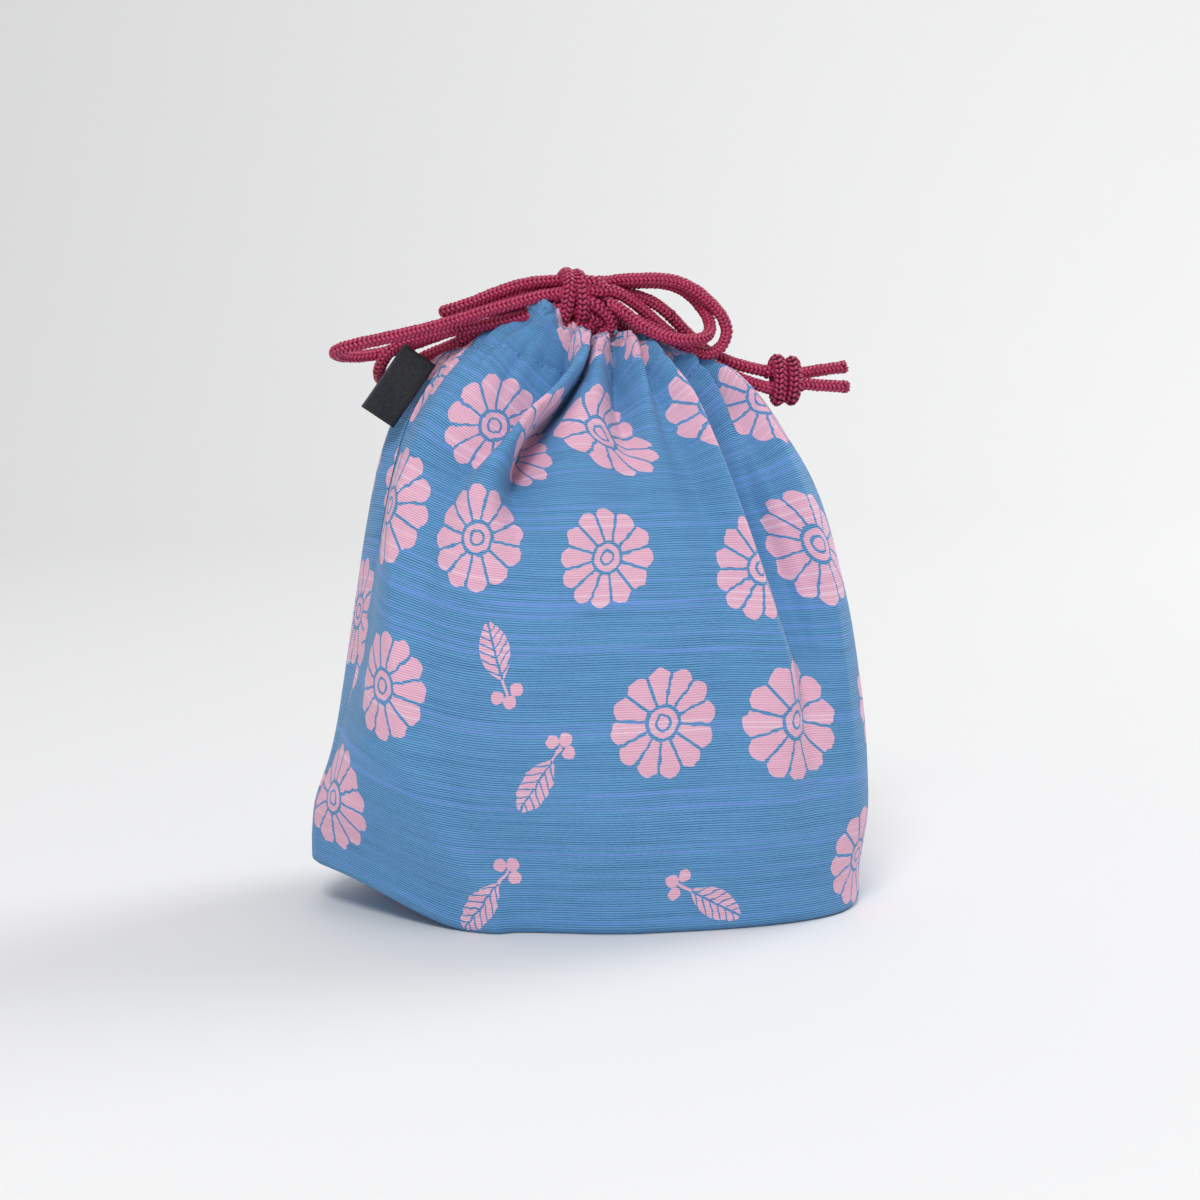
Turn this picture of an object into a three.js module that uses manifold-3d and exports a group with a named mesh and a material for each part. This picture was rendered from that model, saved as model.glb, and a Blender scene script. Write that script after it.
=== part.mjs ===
// Drawstring lunch bag: two gathered cloth panels with a boxed base, a rolled casing round the mouth,
// two cords that run through the casing from opposite sides, and one bow tied over the mouth.
// Millimetres, +Z up, +X to the right along the front, origin on the floor under the middle of the bag.

import * as THREE from "three";
import { mergeVertices } from "three/addons/utils/BufferGeometryUtils.js";
import Module from "manifold-3d";

// Driving dimensions of the bag
const base_width = 207; // side seam to side seam at the foot
const base_depth = 144; // front to back at the foot
const panel_height = 198; // floor to the panels' rim
const cloth_wall = 2; // a doubled, seamed cloth wall
const seam_gap = 0.3; // between the two panels, and between any two pieces that touch
const base_roll = 7; // radius of the soft roll from the walls to the base
const tip_lift = 14; // the left end of the base curls up off the floor
const tip_reach = 48; // length of base that lifts with it
const lift_fade = 60; // height at which the lift has died out
const shoulder_lean = 0.15; // the left shoulder stands higher than the right: rise per length at the rim
const belly_skew = 0.12; // the right half is deeper than the left: change of depth per half width

// Driving dimensions of the casing, a soft roll round the gathered mouth
const roll_left = 19; // from the origin to the roll's centre line at the left end
const roll_right = 35; // the same at the right end
const roll_depth = 14; // the same at front and back
const roll_gather = 4.4; // gathered cloth inside and outside the channel
const roll_cover = 1.7; // cloth over and under the channel
const roll_clear = 0.48; // between the roll and the panels' rim
const roll_rise = 1.6; // of its centre line over the panels' rim, in the mouth's middle
const mouth_offset = 8; // the mouth's middle lies to the right of the bag's
const mouth_tilt = 0.2; // its left end is the higher: fall per length
const exit_gap = 14; // opening between front and back casing, where the cords come out
const channel_clearance = 0.4; // round a cord inside the casing
const cord_apart = 0.6; // between the two cords, one over the other in the channel

// Driving dimensions of the cords and what is on them
const cord_diameter = 4.4;
const knot_height = 22; // the bow's knot, over its wraps
const knot_depth = 21; // front to back
const knot_length = 15.6; // across both wraps
const knot_clear = 3.6; // from the casing's top, over the mouth's middle, up to the knot
const knot_left = 3; // the knot's middle lies to the left of the origin
const knot_front = 10; // and in front of it
const stopper_height = 18;
const stopper_depth = 11;
const stopper_length = 10.4;

// Driving dimensions of the folded side label
const label_long = 26.5; // along the seam
const label_out = 13; // out of the seam
const label_ply = 0.45; // one layer of ribbon
const label_loft = 1.5; // over both layers at the fold
const label_clear = 0.8; // from the seam's crest

// Fineness of the faceted surfaces
const around_steps = 52;
const rings_per_station = 2;
const roll_sides = 14;
const roll_steps = 20;
const cord_sides = 8;
const wrap_steps = 18;

const half_width = base_width / 2;
const half_depth = base_depth / 2;
const cord_radius = cord_diameter / 2;
const cord_spacing = cord_diameter + cord_apart;
const channel_wide = cord_diameter + 2 * channel_clearance;
const channel_tall = channel_wide + cord_spacing;
const roll_thickness = channel_wide + 2 * roll_gather;
const roll_tall = channel_tall + 2 * roll_cover;
const roll_level = panel_height + roll_rise;
const knot_height_over_floor = roll_level + roll_tall / 2 + knot_clear + knot_height / 2;
const knot_place = new THREE.Vector3(-knot_left, -knot_front, knot_height_over_floor);

// One row for each level of the bag: height, then how far the outline reaches to the left, right, front and
// back, as shares of the height, half width and half depth. The last two numbers are the powers of its left
// and right corners, 2 for an ellipse and more for a squarer corner.
const body_shares = [
  [0.06, 1, 0.971, 1, 0.985, 2.1, 3.2],
  [0.2, 0.965, 0.966, 1, 0.995, 2.3, 3.4],
  [0.33, 0.89, 0.94, 0.986, 0.975, 2.8, 3.4],
  [0.455, 0.822, 0.906, 0.944, 0.935, 3, 3.2],
  [0.58, 0.79, 0.876, 0.868, 0.862, 3, 3],
  [0.707, 0.758, 0.836, 0.75, 0.75, 2.8, 2.8],
  [0.823, 0.706, 0.768, 0.604, 0.611, 2.5, 2.5],
  [0.899, 0.628, 0.681, 0.472, 0.486, 2.3, 2.3],
  [0.949, 0.552, 0.589, 0.389, 0.403, 2.2, 2.2],
  [0.984, 0.468, 0.5, 0.347, 0.354, 2.1, 2.1],
];
const foot_shares = [0.45, 0.8]; // rings of the flat base, as shares of its outline
const roll_over_shares = [0.02, 0.35, 0.7]; // rings of the soft roll between base and wall

const wasm = await Module();
wasm.setup();

// A colour, roughness and metalness for each kind of material.
const finish = (color, roughness) => () =>
  new THREE.MeshStandardMaterial({ color, roughness, metalness: 0 });
const cotton = finish(0x4b8cc4, 0.85);
const hem_cotton = finish(0x5a97cc, 0.85);
const braid = finish(0x8e1f38, 0.6);
const satin = finish(0x1a1c22, 0.45);

// A closed geometry as a manifold solid, and back.
function solidOf(geometry) {
  const bare = geometry.clone();
  bare.deleteAttribute("normal");
  bare.deleteAttribute("uv");
  const merged = mergeVertices(bare, 1e-4);
  const triVerts = new Uint32Array(merged.index.array);
  const vertProperties = merged.attributes.position.array;
  return new wasm.Manifold(new wasm.Mesh({ numProp: 3, vertProperties, triVerts }));
}

function geometryOf(solid) {
  const mesh = solid.getMesh();
  const geometry = new THREE.BufferGeometry();
  const positions = new Float32Array(mesh.numVert * 3);
  for (let i = 0; i < mesh.numVert; i++) {
    const from = i * mesh.numProp;
    positions.set(mesh.vertProperties.subarray(from, from + 3), i * 3);
  }
  geometry.setAttribute("position", new THREE.BufferAttribute(positions, 3));
  geometry.setIndex(new THREE.BufferAttribute(mesh.triVerts, 1));
  geometry.computeVertexNormals();
  return geometry;
}

// Skins a row of rings, each a closed loop of as many points, and closes both ends with a fan. Seen along the
// row, each ring runs anticlockwise.
function loft(rings) {
  const sides = rings[0].length;
  const centre = (ring) =>
    ring.reduce((sum, p) => sum.add(p), new THREE.Vector3()).divideScalar(sides);
  const points = [...rings.flat(), centre(rings[0]), centre(rings.at(-1))];
  const first = rings.length * sides;
  const index = [];
  rings.forEach((ring, row) => {
    for (let i = 0; i < sides; i++) {
      const next = (i + 1) % sides;
      const [a, b] = [row * sides + i, row * sides + next];
      if (row === 0) index.push(first, a, b);
      if (row === rings.length - 1) index.push(first + 1, b, a);
      else index.push(a, a + sides, b, b, a + sides, b + sides);
    }
  });
  return new THREE.BufferGeometry().setFromPoints(points).setIndex(index);
}

// The outline of the bag at one level: two half superellipses that share their depth.
function outline(angle, [left, right, front, back, left_power, right_power]) {
  const [across, along] = [Math.cos(angle), Math.sin(angle)];
  const power = across < 0 ? left_power : right_power;
  const x = (across < 0 ? left : right) * Math.sign(across) * Math.abs(across) ** (2 / power);
  const y = (along < 0 ? front : back) * Math.sign(along) * Math.abs(along) ** (2 / power);
  return [x, y * (1 + (belly_skew * x) / half_width)];
}

const smooth = (t) => {
  const s = Math.min(1, Math.max(0, t));
  return s * s * (3 - 2 * s);
};

// Leans the shoulders to the right and lifts the left end of the base.
function settle(x, y, z) {
  const lean = shoulder_lean * x * (z / panel_height) ** 4;
  const lift = tip_lift * smooth((-x - half_width + tip_reach) / tip_reach);
  return new THREE.Vector3(x, y, z - lean + lift * (1 - smooth(z / lift_fade)));
}

// The sizes of the outline at each ring of the wall, in millimetres, on smooth lines through the table.
function wallLevels() {
  const rim = roll_thickness / 2 + roll_clear + cloth_wall;
  const rows = body_shares.map(([height, left, right, front, back, ...powers]) => [
    height * panel_height,
    left * half_width,
    right * half_width,
    front * half_depth,
    back * half_depth,
    ...powers,
  ]);
  rows.push([panel_height, roll_left + rim, roll_right + rim, roll_depth + rim, roll_depth + rim, 2, 2]);
  const levels = [];
  for (let i = 0; i < rows.length - 1; i++) {
    const nearest = (k) => rows[Math.min(Math.max(k, 0), rows.length - 1)];
    const [p0, p1, p2, p3] = [i - 1, i, i + 1, i + 2].map(nearest);
    for (let s = 0; s < rings_per_station; s++) {
      const t = s / rings_per_station;
      levels.push(
        p1.map((value, k) => {
          const [slope_in, slope_out] = [(p2[k] - p0[k]) / 2, (p3[k] - value) / 2];
          const rise = p2[k] - value;
          return value + t * slope_in + t * t * (3 * rise - 2 * slope_in - slope_out)
            + t ** 3 * (slope_in + slope_out - 2 * rise);
        }),
      );
    }
  }
  levels.push(rows.at(-1));
  return levels;
}

// All rings of the bag's outer face, from the middle of the base to the rim.
function outerRings() {
  const ringAt = ([z, ...sizes]) =>
    Array.from({ length: around_steps }, (_, i) => {
      const angle = (-2 * Math.PI * (i + 0.5)) / around_steps;
      const [x, y] = outline(angle, sizes);
      return settle(x, y, z);
    });
  const walls = wallLevels();
  const scaled = (z, inset) => {
    const [, ...sizes] = walls[0];
    return [z, ...sizes.slice(0, 4).map((size) => size - inset), ...sizes.slice(4)];
  };
  const rings = foot_shares.map((share) => {
    const [, ...sizes] = walls[0];
    return ringAt([0, ...sizes.slice(0, 4).map((size) => (size - base_roll) * share), ...sizes.slice(4)]);
  });
  for (const share of roll_over_shares) {
    const turn = (share * Math.PI) / 2;
    rings.push(ringAt(scaled(base_roll * (1 - Math.cos(turn)), base_roll * (1 - Math.sin(turn)))));
  }
  for (const level of walls) rings.push(ringAt(level));
  return rings;
}

// Each ring moved inwards along the surface's own normal by the thickness of the cloth.
function innerRings(rings) {
  const last = rings.length - 1;
  return rings.map((ring, row) =>
    ring.map((point, i) => {
      const before = ring.at(i - 1);
      const after = ring[(i + 1) % ring.length];
      const round = new THREE.Vector3().subVectors(after, before);
      const [above, below] = [rings[Math.min(row + 1, last)][i], rings[Math.max(row - 1, 0)][i]];
      const rise = new THREE.Vector3().subVectors(above, below);
      const normal = new THREE.Vector3().crossVectors(round, rise).normalize();
      if (row === last) normal.setZ(0).normalize();
      return point.clone().addScaledVector(normal, cloth_wall);
    }),
  );
}

// A block that keeps one half of the bag, in front of or behind the seams.
function halfBlock(side) {
  const reach = base_width + panel_height;
  const block = new THREE.BoxGeometry(2 * reach, reach, 2 * reach);
  block.translate(0, (side * (reach + seam_gap)) / 2, 0);
  return solidOf(block);
}

function makePanels() {
  const outer = outerRings();
  const shell = solidOf(loft([...outer, ...innerRings(outer).reverse()]));
  return [-1, 1].map((side) => geometryOf(shell.intersect(halfBlock(side))));
}

// A point on the centre line of the gathered mouth.
function mouthPoint(angle, rise = 0) {
  const x = Math.cos(angle) * (Math.cos(angle) < 0 ? roll_left : roll_right);
  const level = roll_level - mouth_tilt * (x - mouth_offset) + rise;
  return new THREE.Vector3(x, roll_depth * Math.sin(angle), level);
}

// A rounded section swept along the mouth between two angles.
function mouthSweep(from, to, thickness, tall, corner_power) {
  return loft(
    Array.from({ length: roll_steps + 1 }, (_, step) => {
      const angle = from + ((to - from) * step) / roll_steps;
      const nudge = (to - from) / roll_steps;
      const along = mouthPoint(angle + nudge).sub(mouthPoint(angle - nudge));
      const outward = new THREE.Vector3(-along.y, along.x, 0).normalize();
      return Array.from({ length: roll_sides }, (_, i) => {
        const turn = (-2 * Math.PI * (i + 0.5)) / roll_sides;
        const [c, s] = [Math.cos(turn), Math.sin(turn)];
        const radial = (thickness / 2) * Math.sign(c) * Math.abs(c) ** (2 / corner_power);
        const up = (tall / 2) * Math.sign(s) * Math.abs(s) ** (2 / corner_power);
        return mouthPoint(angle).addScaledVector(outward, radial).add(new THREE.Vector3(0, 0, up));
      });
    }),
  );
}

// The angles at which the casing ends, so that the exits are as wide as named.
const exit_turn = Math.asin(exit_gap / 2 / roll_depth);
const casing_spans = [
  [-Math.PI + exit_turn, -exit_turn],
  [exit_turn, Math.PI - exit_turn],
];

// One half of the casing: a soft roll with a channel for both cords, open at its ends.
function makeCasing([from, to]) {
  const overrun = exit_turn / 2;
  const roll = solidOf(mouthSweep(from, to, roll_thickness, roll_tall, 2.6));
  const channel = solidOf(mouthSweep(from - overrun, to + overrun, channel_wide, channel_tall, 5));
  return geometryOf(roll.subtract(channel));
}

const point = ([x, y, z]) => new THREE.Vector3(x, y, z);

// The middle of the knot's left and right faces, from which the free cords' points are measured.
const knot_faces = { left: knot_place.clone(), right: knot_place.clone() };
knot_faces.left.x -= knot_length / 2;
knot_faces.right.x += knot_length / 2;
const fromKnot = (side) => (place) => point(place).add(knot_faces[side]);

// A round cord along a smooth line through its points.
function cord(points, steps) {
  const section = new THREE.Shape().absarc(0, 0, cord_radius, 0, 2 * Math.PI);
  return new THREE.ExtrudeGeometry(section, {
    steps,
    curveSegments: cord_sides / 2,
    bevelEnabled: false,
    extrudePath: new THREE.CatmullRomCurve3(points),
  });
}

// The part of a cord that runs round the mouth inside the casing, from one exit back to it.
function insideRun(from, to, rise, count) {
  return Array.from({ length: count + 1 }, (_, i) => mouthPoint(from + ((to - from) * i) / count, rise));
}

// Routes of the free cords, by hand, each from the middle of the knot's face on its own side.
const routes = {
  right_loop_outer: [
    [0.6, -2, 6.4], [4.2, -2.6, 7], [12.2, -3.5, 7.5], [20.2, -4, 7.6], [27.2, -4.5, 6.4], [34.2, -5, 3],
    [40.2, -5, -2], [44.2, -5, -7], [45.5, -5, -12], [43.6, -5.4, -16.6], [39.2, -6.4, -19.4],
    [33.2, -7, -18.8], [26.2, -7.4, -15.4], [19.2, -7.5, -11.6], [11.2, -7.1, -8], [5.2, -5.6, -4.8],
    [1.1, -4.6, -3],
  ],
  right_loop_inner: [
    [0.6, 2.7, 5.4], [4.2, 2.4, 5.9], [12.2, 1.6, 6.2], [20.2, 1, 6.3], [27.2, 0.7, 5], [32.2, 0.4, 2.4],
    [36.2, -0.4, -1.6], [38.8, -2.2, -5.8], [39, -5.6, -10.2], [36.2, -9.6, -13.2], [31.2, -12, -14.4],
    [24.2, -12.6, -14.2], [16.2, -12.6, -12.2], [10.2, -12.2, -9], [4.7, -10.8, -4.4], [0.5, -9.4, -1.6],
  ],
  right_strand_lower: [
    [0.9, -7, 3.3], [4.2, -6.7, 2.2], [11.2, -4.6, -1.8], [18.2, -2.8, -7.2], [25.2, -2, -12.8],
    [31.2, -2, -17.6], [37.2, -2.4, -21.6], [41.4, -3.8, -24.2],
  ],
  right_strand_upper: [
    [0.6, -1.4, 1.4], [7.2, 0, 2], [13.2, 0.8, 1.3], [20.2, 1.2, -1.6], [26.2, 1.4, -6.1],
    [31.2, 1.8, -11], [36.2, 2.3, -15.6], [41.4, 1.8, -19.5],
  ],
  right_tail_lower: [[42.1, -4.1, -24.5], [48.2, -5.6, -27.7], [54.2, -6.2, -30.2], [62.2, -6.4, -32.6]],
  right_tail_upper: [[42.1, 1.6, -20], [47.2, 0, -22.6], [53.2, -1.6, -24.6], [62.4, -3, -26.4]],
  right_end_upper: [[74.3, -3.2, -27.4], [83.2, -3, -26], [94.2, -2.6, -24.8]],
  right_end_lower: [[73.8, -7.6, -30.8], [83.2, -8, -31.6], [92.8, -8.2, -32.2]],
  left_loop_long: [
    [-0.7, -4.6, 2.4], [-9.2, -4.2, 1.2], [-19.2, -3.2, -1.4], [-29.2, -1.8, -4.2], [-38.2, -0.6, -7],
    [-47.2, 0.4, -9.6], [-56.2, 1.4, -11.8], [-65.2, 2.6, -13.8], [-73.2, 4.2, -15.5],
    [-79.2, 7.6, -17.2], [-81.2, 12, -18.8], [-78.8, 16.8, -20], [-72.2, 20, -20.4],
    [-64.2, 21.6, -19.6], [-56.2, 22.6, -17.8], [-47.2, 23, -15], [-38.2, 22.6, -11.8],
    [-30.2, 21, -8.8], [-22.2, 18, -5.4], [-14.2, 11.8, -2.2], [-7.2, 4.6, 0], [-1.2, 0.8, 1.4],
  ],
  left_loop_short: [
    [-0.7, 1, 6.8], [-10.2, 1.6, 6.2], [-18.2, 2.8, 4.4], [-25.2, 4.4, 1.8], [-33.2, 6, -1.4],
    [-38.8, 8, -3.3], [-41.2, 11.2, -4.2], [-38.8, 14.6, -4.2], [-33.2, 16.4, -3.4], [-25.2, 16, -1],
    [-16.2, 13.2, 2], [-7.2, 8.8, 4.4], [-0.7, 5.8, 5],
  ],
  left_strand_outer: [
    [-0.7, -4.4, -3.2], [-9.2, -1.8, -4.6], [-19.2, 1.6, -7.2], [-29.2, 5, -9.4], [-37.2, 7.4, -10.8],
    [-44.2, 9.2, -12.1], [-52, 11.6, -14.2], [-57.6, 13.6, -16.4], [-61.4, 15.4, -19.4],
  ],
  left_strand_inner: [
    [-0.7, 0.6, -3.8], [-9.2, 4, -5.8], [-19.2, 7.6, -8.6], [-28.2, 11.4, -12], [-35.2, 15.2, -15.4],
    [-42.2, 19.8, -18.8], [-49.2, 24.2, -22.2], [-54.2, 27, -25],
  ],
  left_tail_outer: [
    [-62, 15.8, -20.2], [-63.8, 18.2, -24.2], [-63.4, 22, -27.8], [-61, 26, -30], [-58.4, 28.8, -31.8],
    [-57.4, 30.2, -35.4],
  ],
  left_tail_inner: [[-55, 27.5, -25.8], [-56.9, 30.4, -27.4], [-58, 33.6, -30], [-57.4, 35, -33.6]],
  left_end_outer: [[-55, 34.2, -46.4], [-54.4, 35.4, -49.4], [-52.4, 41, -55.2], [-50.6, 46.6, -61.2]],
  left_end_inner: [[-55, 39, -44.6], [-53.8, 41.4, -48.2], [-50, 47, -53.6], [-46.6, 51.6, -59.4]],
};
const route_steps = {
  right_loop_outer: 15, right_loop_inner: 14, right_strand_lower: 5, right_strand_upper: 5,
  right_tail_lower: 2, right_tail_upper: 2, right_end_upper: 1, right_end_lower: 1,
  left_loop_long: 22, left_loop_short: 13, left_strand_outer: 8, left_strand_inner: 8,
  left_tail_outer: 6, left_tail_inner: 4, left_end_outer: 3, left_end_inner: 3,
};

// The drawcords: out of the knot, down into an exit, round the mouth in the casing and back up to the knot.
const drawcord_starts = {
  left: [[-0.7, 5.4, -5.6], [-6.2, 6.6, -8.2], [-9, 6.2, -13.4]],
  right: [
    [1.6, 0.4, -4.8], [6.6, 1.6, -9], [13.2, 4, -12.4], [21.2, 6, -13.8], [29.2, 6.8, -15.4], [34.6, 7, -19],
    [35.8, 6.8, -23.6], [32.6, 5.2, -27.6],
  ],
};
const drawcord_ends = {
  left: [[-8.8, 13.6, -13.2], [-7, 10.2, -6.6], [-1.8, 6, -0.8]],
  right: [
    [32.6, 14.8, -27.6], [35.8, 13.2, -23.6], [34.6, 12.8, -18.8], [29.2, 12.4, -15], [21.2, 11.4, -12.8],
    [13.2, 9.4, -10.4], [6.6, 7, -6], [1.6, 4.8, -2.6],
  ],
};
const run_count = 18;
const run_steps = { left: 22, right: 32 };

function makeDrawcord(side) {
  const rise = (side === "left" ? cord_spacing : -cord_spacing) / 2;
  const [from, to] =
    side === "left" ? [-Math.PI + exit_turn, Math.PI - exit_turn] : [-exit_turn, exit_turn - 2 * Math.PI];
  return cord(
    [
      ...drawcord_starts[side].map(fromKnot(side)),
      ...insideRun(from, to, rise, run_count),
      ...drawcord_ends[side].map(fromKnot(side)),
    ],
    run_steps[side],
  );
}

// A knot: two fat wraps side by side round a core of folded cord. Its length runs along X.
function makeKnot(length, depth, tall) {
  const wrap_radius = length / 4 - seam_gap / 2;
  const ringAt = (centre_x, turn) => {
    const [c, s] = [Math.cos(turn), Math.sin(turn)];
    return Array.from({ length: cord_sides }, (_, i) => {
      const round = (2 * Math.PI * i) / cord_sides;
      const out = -wrap_radius + wrap_radius * Math.cos(round);
      return new THREE.Vector3(
        centre_x - wrap_radius * Math.sin(round),
        c * (depth / 2 + out),
        s * (tall / 2 + out),
      );
    });
  };
  const wrap = (centre_x) => {
    const turns = Array.from({ length: wrap_steps }, (_, k) => (2 * Math.PI * k) / wrap_steps);
    const rings = turns.map((turn) => ringAt(centre_x, turn));
    const index = [];
    rings.forEach((ring, row) =>
      ring.forEach((_, i) => {
        const next_row = ((row + 1) % wrap_steps) * cord_sides;
        const next = (i + 1) % cord_sides;
        const [a, b] = [row * cord_sides + i, row * cord_sides + next];
        index.push(a, b, next_row + i, b, next_row + next, next_row + i);
      }),
    );
    return solidOf(new THREE.BufferGeometry().setFromPoints(rings.flat()).setIndex(index));
  };
  const core = new THREE.SphereGeometry(1, 2 * cord_sides, cord_sides);
  core.scale(length / 2, depth / 2 - wrap_radius / 2, tall / 2 - wrap_radius / 2);
  const offset = length / 4;
  return geometryOf(solidOf(core).add(wrap(-offset)).add(wrap(offset)));
}

// The folded ribbon label: two plies that meet in a round fold at the free edge, cut along the seam's slope.
function makeLabel() {
  const fold = label_loft / 2;
  const inner_fold = fold - label_ply;
  const profile = new THREE.Shape();
  profile.moveTo(0, -fold);
  profile.lineTo(label_out - fold, -fold);
  profile.absarc(label_out - fold, 0, fold, -Math.PI / 2, Math.PI / 2, false);
  profile.lineTo(0, fold);
  profile.lineTo(0, inner_fold);
  profile.lineTo(label_out - fold, inner_fold);
  profile.absarc(label_out - fold, 0, inner_fold, Math.PI / 2, -Math.PI / 2, true);
  profile.lineTo(0, -inner_fold);
  profile.closePath();
  return new THREE.ExtrudeGeometry(profile, { depth: label_long, bevelEnabled: false, curveSegments: 6 });
}

// The crest of the left side seam at a share of the panels' height.
function seamCrest(height) {
  const levels = wallLevels();
  const above = Math.max(1, levels.findIndex(([z]) => z >= height));
  const [low, high] = [levels[above - 1], levels[above]];
  const share = (height - low[0]) / (high[0] - low[0]);
  return settle(-(low[1] + share * (high[1] - low[1])), 0, height);
}

const label_height_share = 0.906; // middle of the label on the seam
const label_slope_share = 0.045; // a short step along the seam, to find its slope
const group = new THREE.Group();

function addMesh(name, geometry, material, parent = group) {
  const mesh = new THREE.Mesh(geometry, material());
  mesh.name = name;
  parent.add(mesh);
  return mesh;
}

const [front_geometry, back_geometry] = makePanels();
addMesh("front_panel", front_geometry, cotton);
addMesh("back_panel", back_geometry, cotton);
addMesh("front_casing", makeCasing(casing_spans[0]), hem_cotton);
addMesh("back_casing", makeCasing(casing_spans[1]), hem_cotton);

// The label stands out square from the seam's crest, in the plane of the seams.
const crest = seamCrest(label_height_share * panel_height);
const along_seam = seamCrest((label_height_share - label_slope_share) * panel_height)
  .sub(seamCrest((label_height_share + label_slope_share) * panel_height))
  .setY(0)
  .normalize();
const out_of_seam = new THREE.Vector3(along_seam.z, 0, -along_seam.x);
const label_seat = new THREE.Group();
label_seat.position
  .copy(crest)
  .addScaledVector(out_of_seam, label_clear)
  .addScaledVector(along_seam, -label_long / 2);
const across_seam = new THREE.Vector3().crossVectors(along_seam, out_of_seam);
label_seat.quaternion.setFromRotationMatrix(
  new THREE.Matrix4().makeBasis(out_of_seam, across_seam, along_seam),
);
group.add(label_seat);
addMesh("side_label", makeLabel(), satin, label_seat);

addMesh("left_drawcord", makeDrawcord("left"), braid);
addMesh("right_drawcord", makeDrawcord("right"), braid);

const tie_knot = addMesh("tie_knot", makeKnot(knot_length, knot_depth, knot_height), braid);
tie_knot.position.copy(knot_place);

const sideOf = (name) => name.split("_")[0];
for (const [name, points] of Object.entries(routes)) {
  addMesh(name, cord(points.map(fromKnot(sideOf(name))), route_steps[name]), braid);
}

// Each stopper knot sits where its two tails end, in line with them. The left one hangs behind the label, its
// flat side to it. A turn is a rotation about X, Y and Z, in that order.
const stopper_geometry = makeKnot(stopper_length, stopper_depth, stopper_height);
const stopper_places = {
  right_stopper_knot: { at: [68.2, -5.2, -29.6], turn: [0, 0.06, 0] },
  left_stopper_knot: { at: [-56.5, 34.6, -40], turn: [0.35 - Math.PI / 2, 0, Math.PI / 2 - 0.2] },
};
for (const [name, { at, turn }] of Object.entries(stopper_places)) {
  const stopper = addMesh(name, stopper_geometry, braid);
  stopper.position.copy(fromKnot(sideOf(name))(at));
  stopper.rotation.set(...turn);
}

export default group;
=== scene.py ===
"""Drawstring lunch bag: gathered printed cotton, two braided drawcords tied in one bow, a folded side label.

All lengths inside the classes are in millimetres, with +Z up and the front towards -Y, and they are turned
into metres where a mesh is made.
"""

from __future__ import annotations

import logging
import math
from dataclasses import dataclass, field
from enum import Enum
from typing import Callable, Sequence, Union

import bpy
import numpy as np
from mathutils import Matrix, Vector


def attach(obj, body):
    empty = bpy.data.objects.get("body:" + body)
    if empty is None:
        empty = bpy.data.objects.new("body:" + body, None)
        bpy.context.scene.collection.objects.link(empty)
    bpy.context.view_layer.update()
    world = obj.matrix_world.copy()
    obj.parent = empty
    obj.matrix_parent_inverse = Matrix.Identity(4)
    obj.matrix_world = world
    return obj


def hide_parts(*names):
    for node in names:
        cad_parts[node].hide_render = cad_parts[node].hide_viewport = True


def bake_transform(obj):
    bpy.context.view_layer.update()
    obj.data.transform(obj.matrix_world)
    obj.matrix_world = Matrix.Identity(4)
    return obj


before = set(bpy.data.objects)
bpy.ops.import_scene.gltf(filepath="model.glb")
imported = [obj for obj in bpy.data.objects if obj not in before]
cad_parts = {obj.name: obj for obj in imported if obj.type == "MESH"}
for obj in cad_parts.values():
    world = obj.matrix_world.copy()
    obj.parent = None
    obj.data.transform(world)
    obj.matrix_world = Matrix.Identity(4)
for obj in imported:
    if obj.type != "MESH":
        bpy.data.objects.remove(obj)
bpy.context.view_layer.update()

LOG = logging.getLogger("bag")
MM = 0.001
Array = np.ndarray
Colour = tuple[float, float, float]
Piece = bpy.types.Object
Route = Sequence[Sequence[float]]


def srgb(red: int, green: int, blue: int) -> Colour:
    """Turns a colour as it is seen on a screen, from 0 to 255, into the linear values a shader takes."""
    return tuple(
        c / 12.92 if c <= 0.04045 else ((c + 0.055) / 1.055) ** 2.4
        for c in (red / 255, green / 255, blue / 255)
    )


def smoothstep(value: Array, low: float = 0.0, high: float = 1.0) -> Array:
    """Rises smoothly from 0 at low to 1 at high."""
    t = np.clip((np.asarray(value, float) - low) / (high - low), 0.0, 1.0)
    return t * t * (3 - 2 * t)


def bell(value: Array, middle: float, spread: float) -> Array:
    """Gives a smooth hill that is 1 at its middle."""
    return np.exp(-(((value - middle) / spread) ** 2))


def unit(vectors: Array) -> Array:
    """Scales vectors to length 1."""
    return vectors / np.linalg.norm(vectors, axis=-1, keepdims=True)


class Side(Enum):
    """The two halves of the bag, either side of the side seams."""

    FRONT = "front"
    BACK = "back"


class Body(Enum):
    """The bodies that the pieces ride on."""

    BAG = "bag"
    LABEL = "label"
    LEFT_BOW = "left_bow"
    LEFT_TAILS = "left_tails"
    RIGHT_BOW = "right_bow"
    RIGHT_TAILS = "right_tails"


# Trees of nodes

Operand = Union["Value", bpy.types.NodeSocket, float, int]


def two_operands(operation: str, swapped: bool = False) -> Callable[["Value", Operand], "Value"]:
    """Makes the method of Value that adds one Math node for two operands.

    Args:
        operation: the node's operation.
        swapped: whether the other operand comes first.

    Returns:
        The method.
    """

    def method(self: "Value", other: Operand) -> "Value":
        """Works out one number from two."""
        pair = (other, self) if swapped else (self, other)
        return self.kit.math(operation, *pair)

    return method


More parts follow.
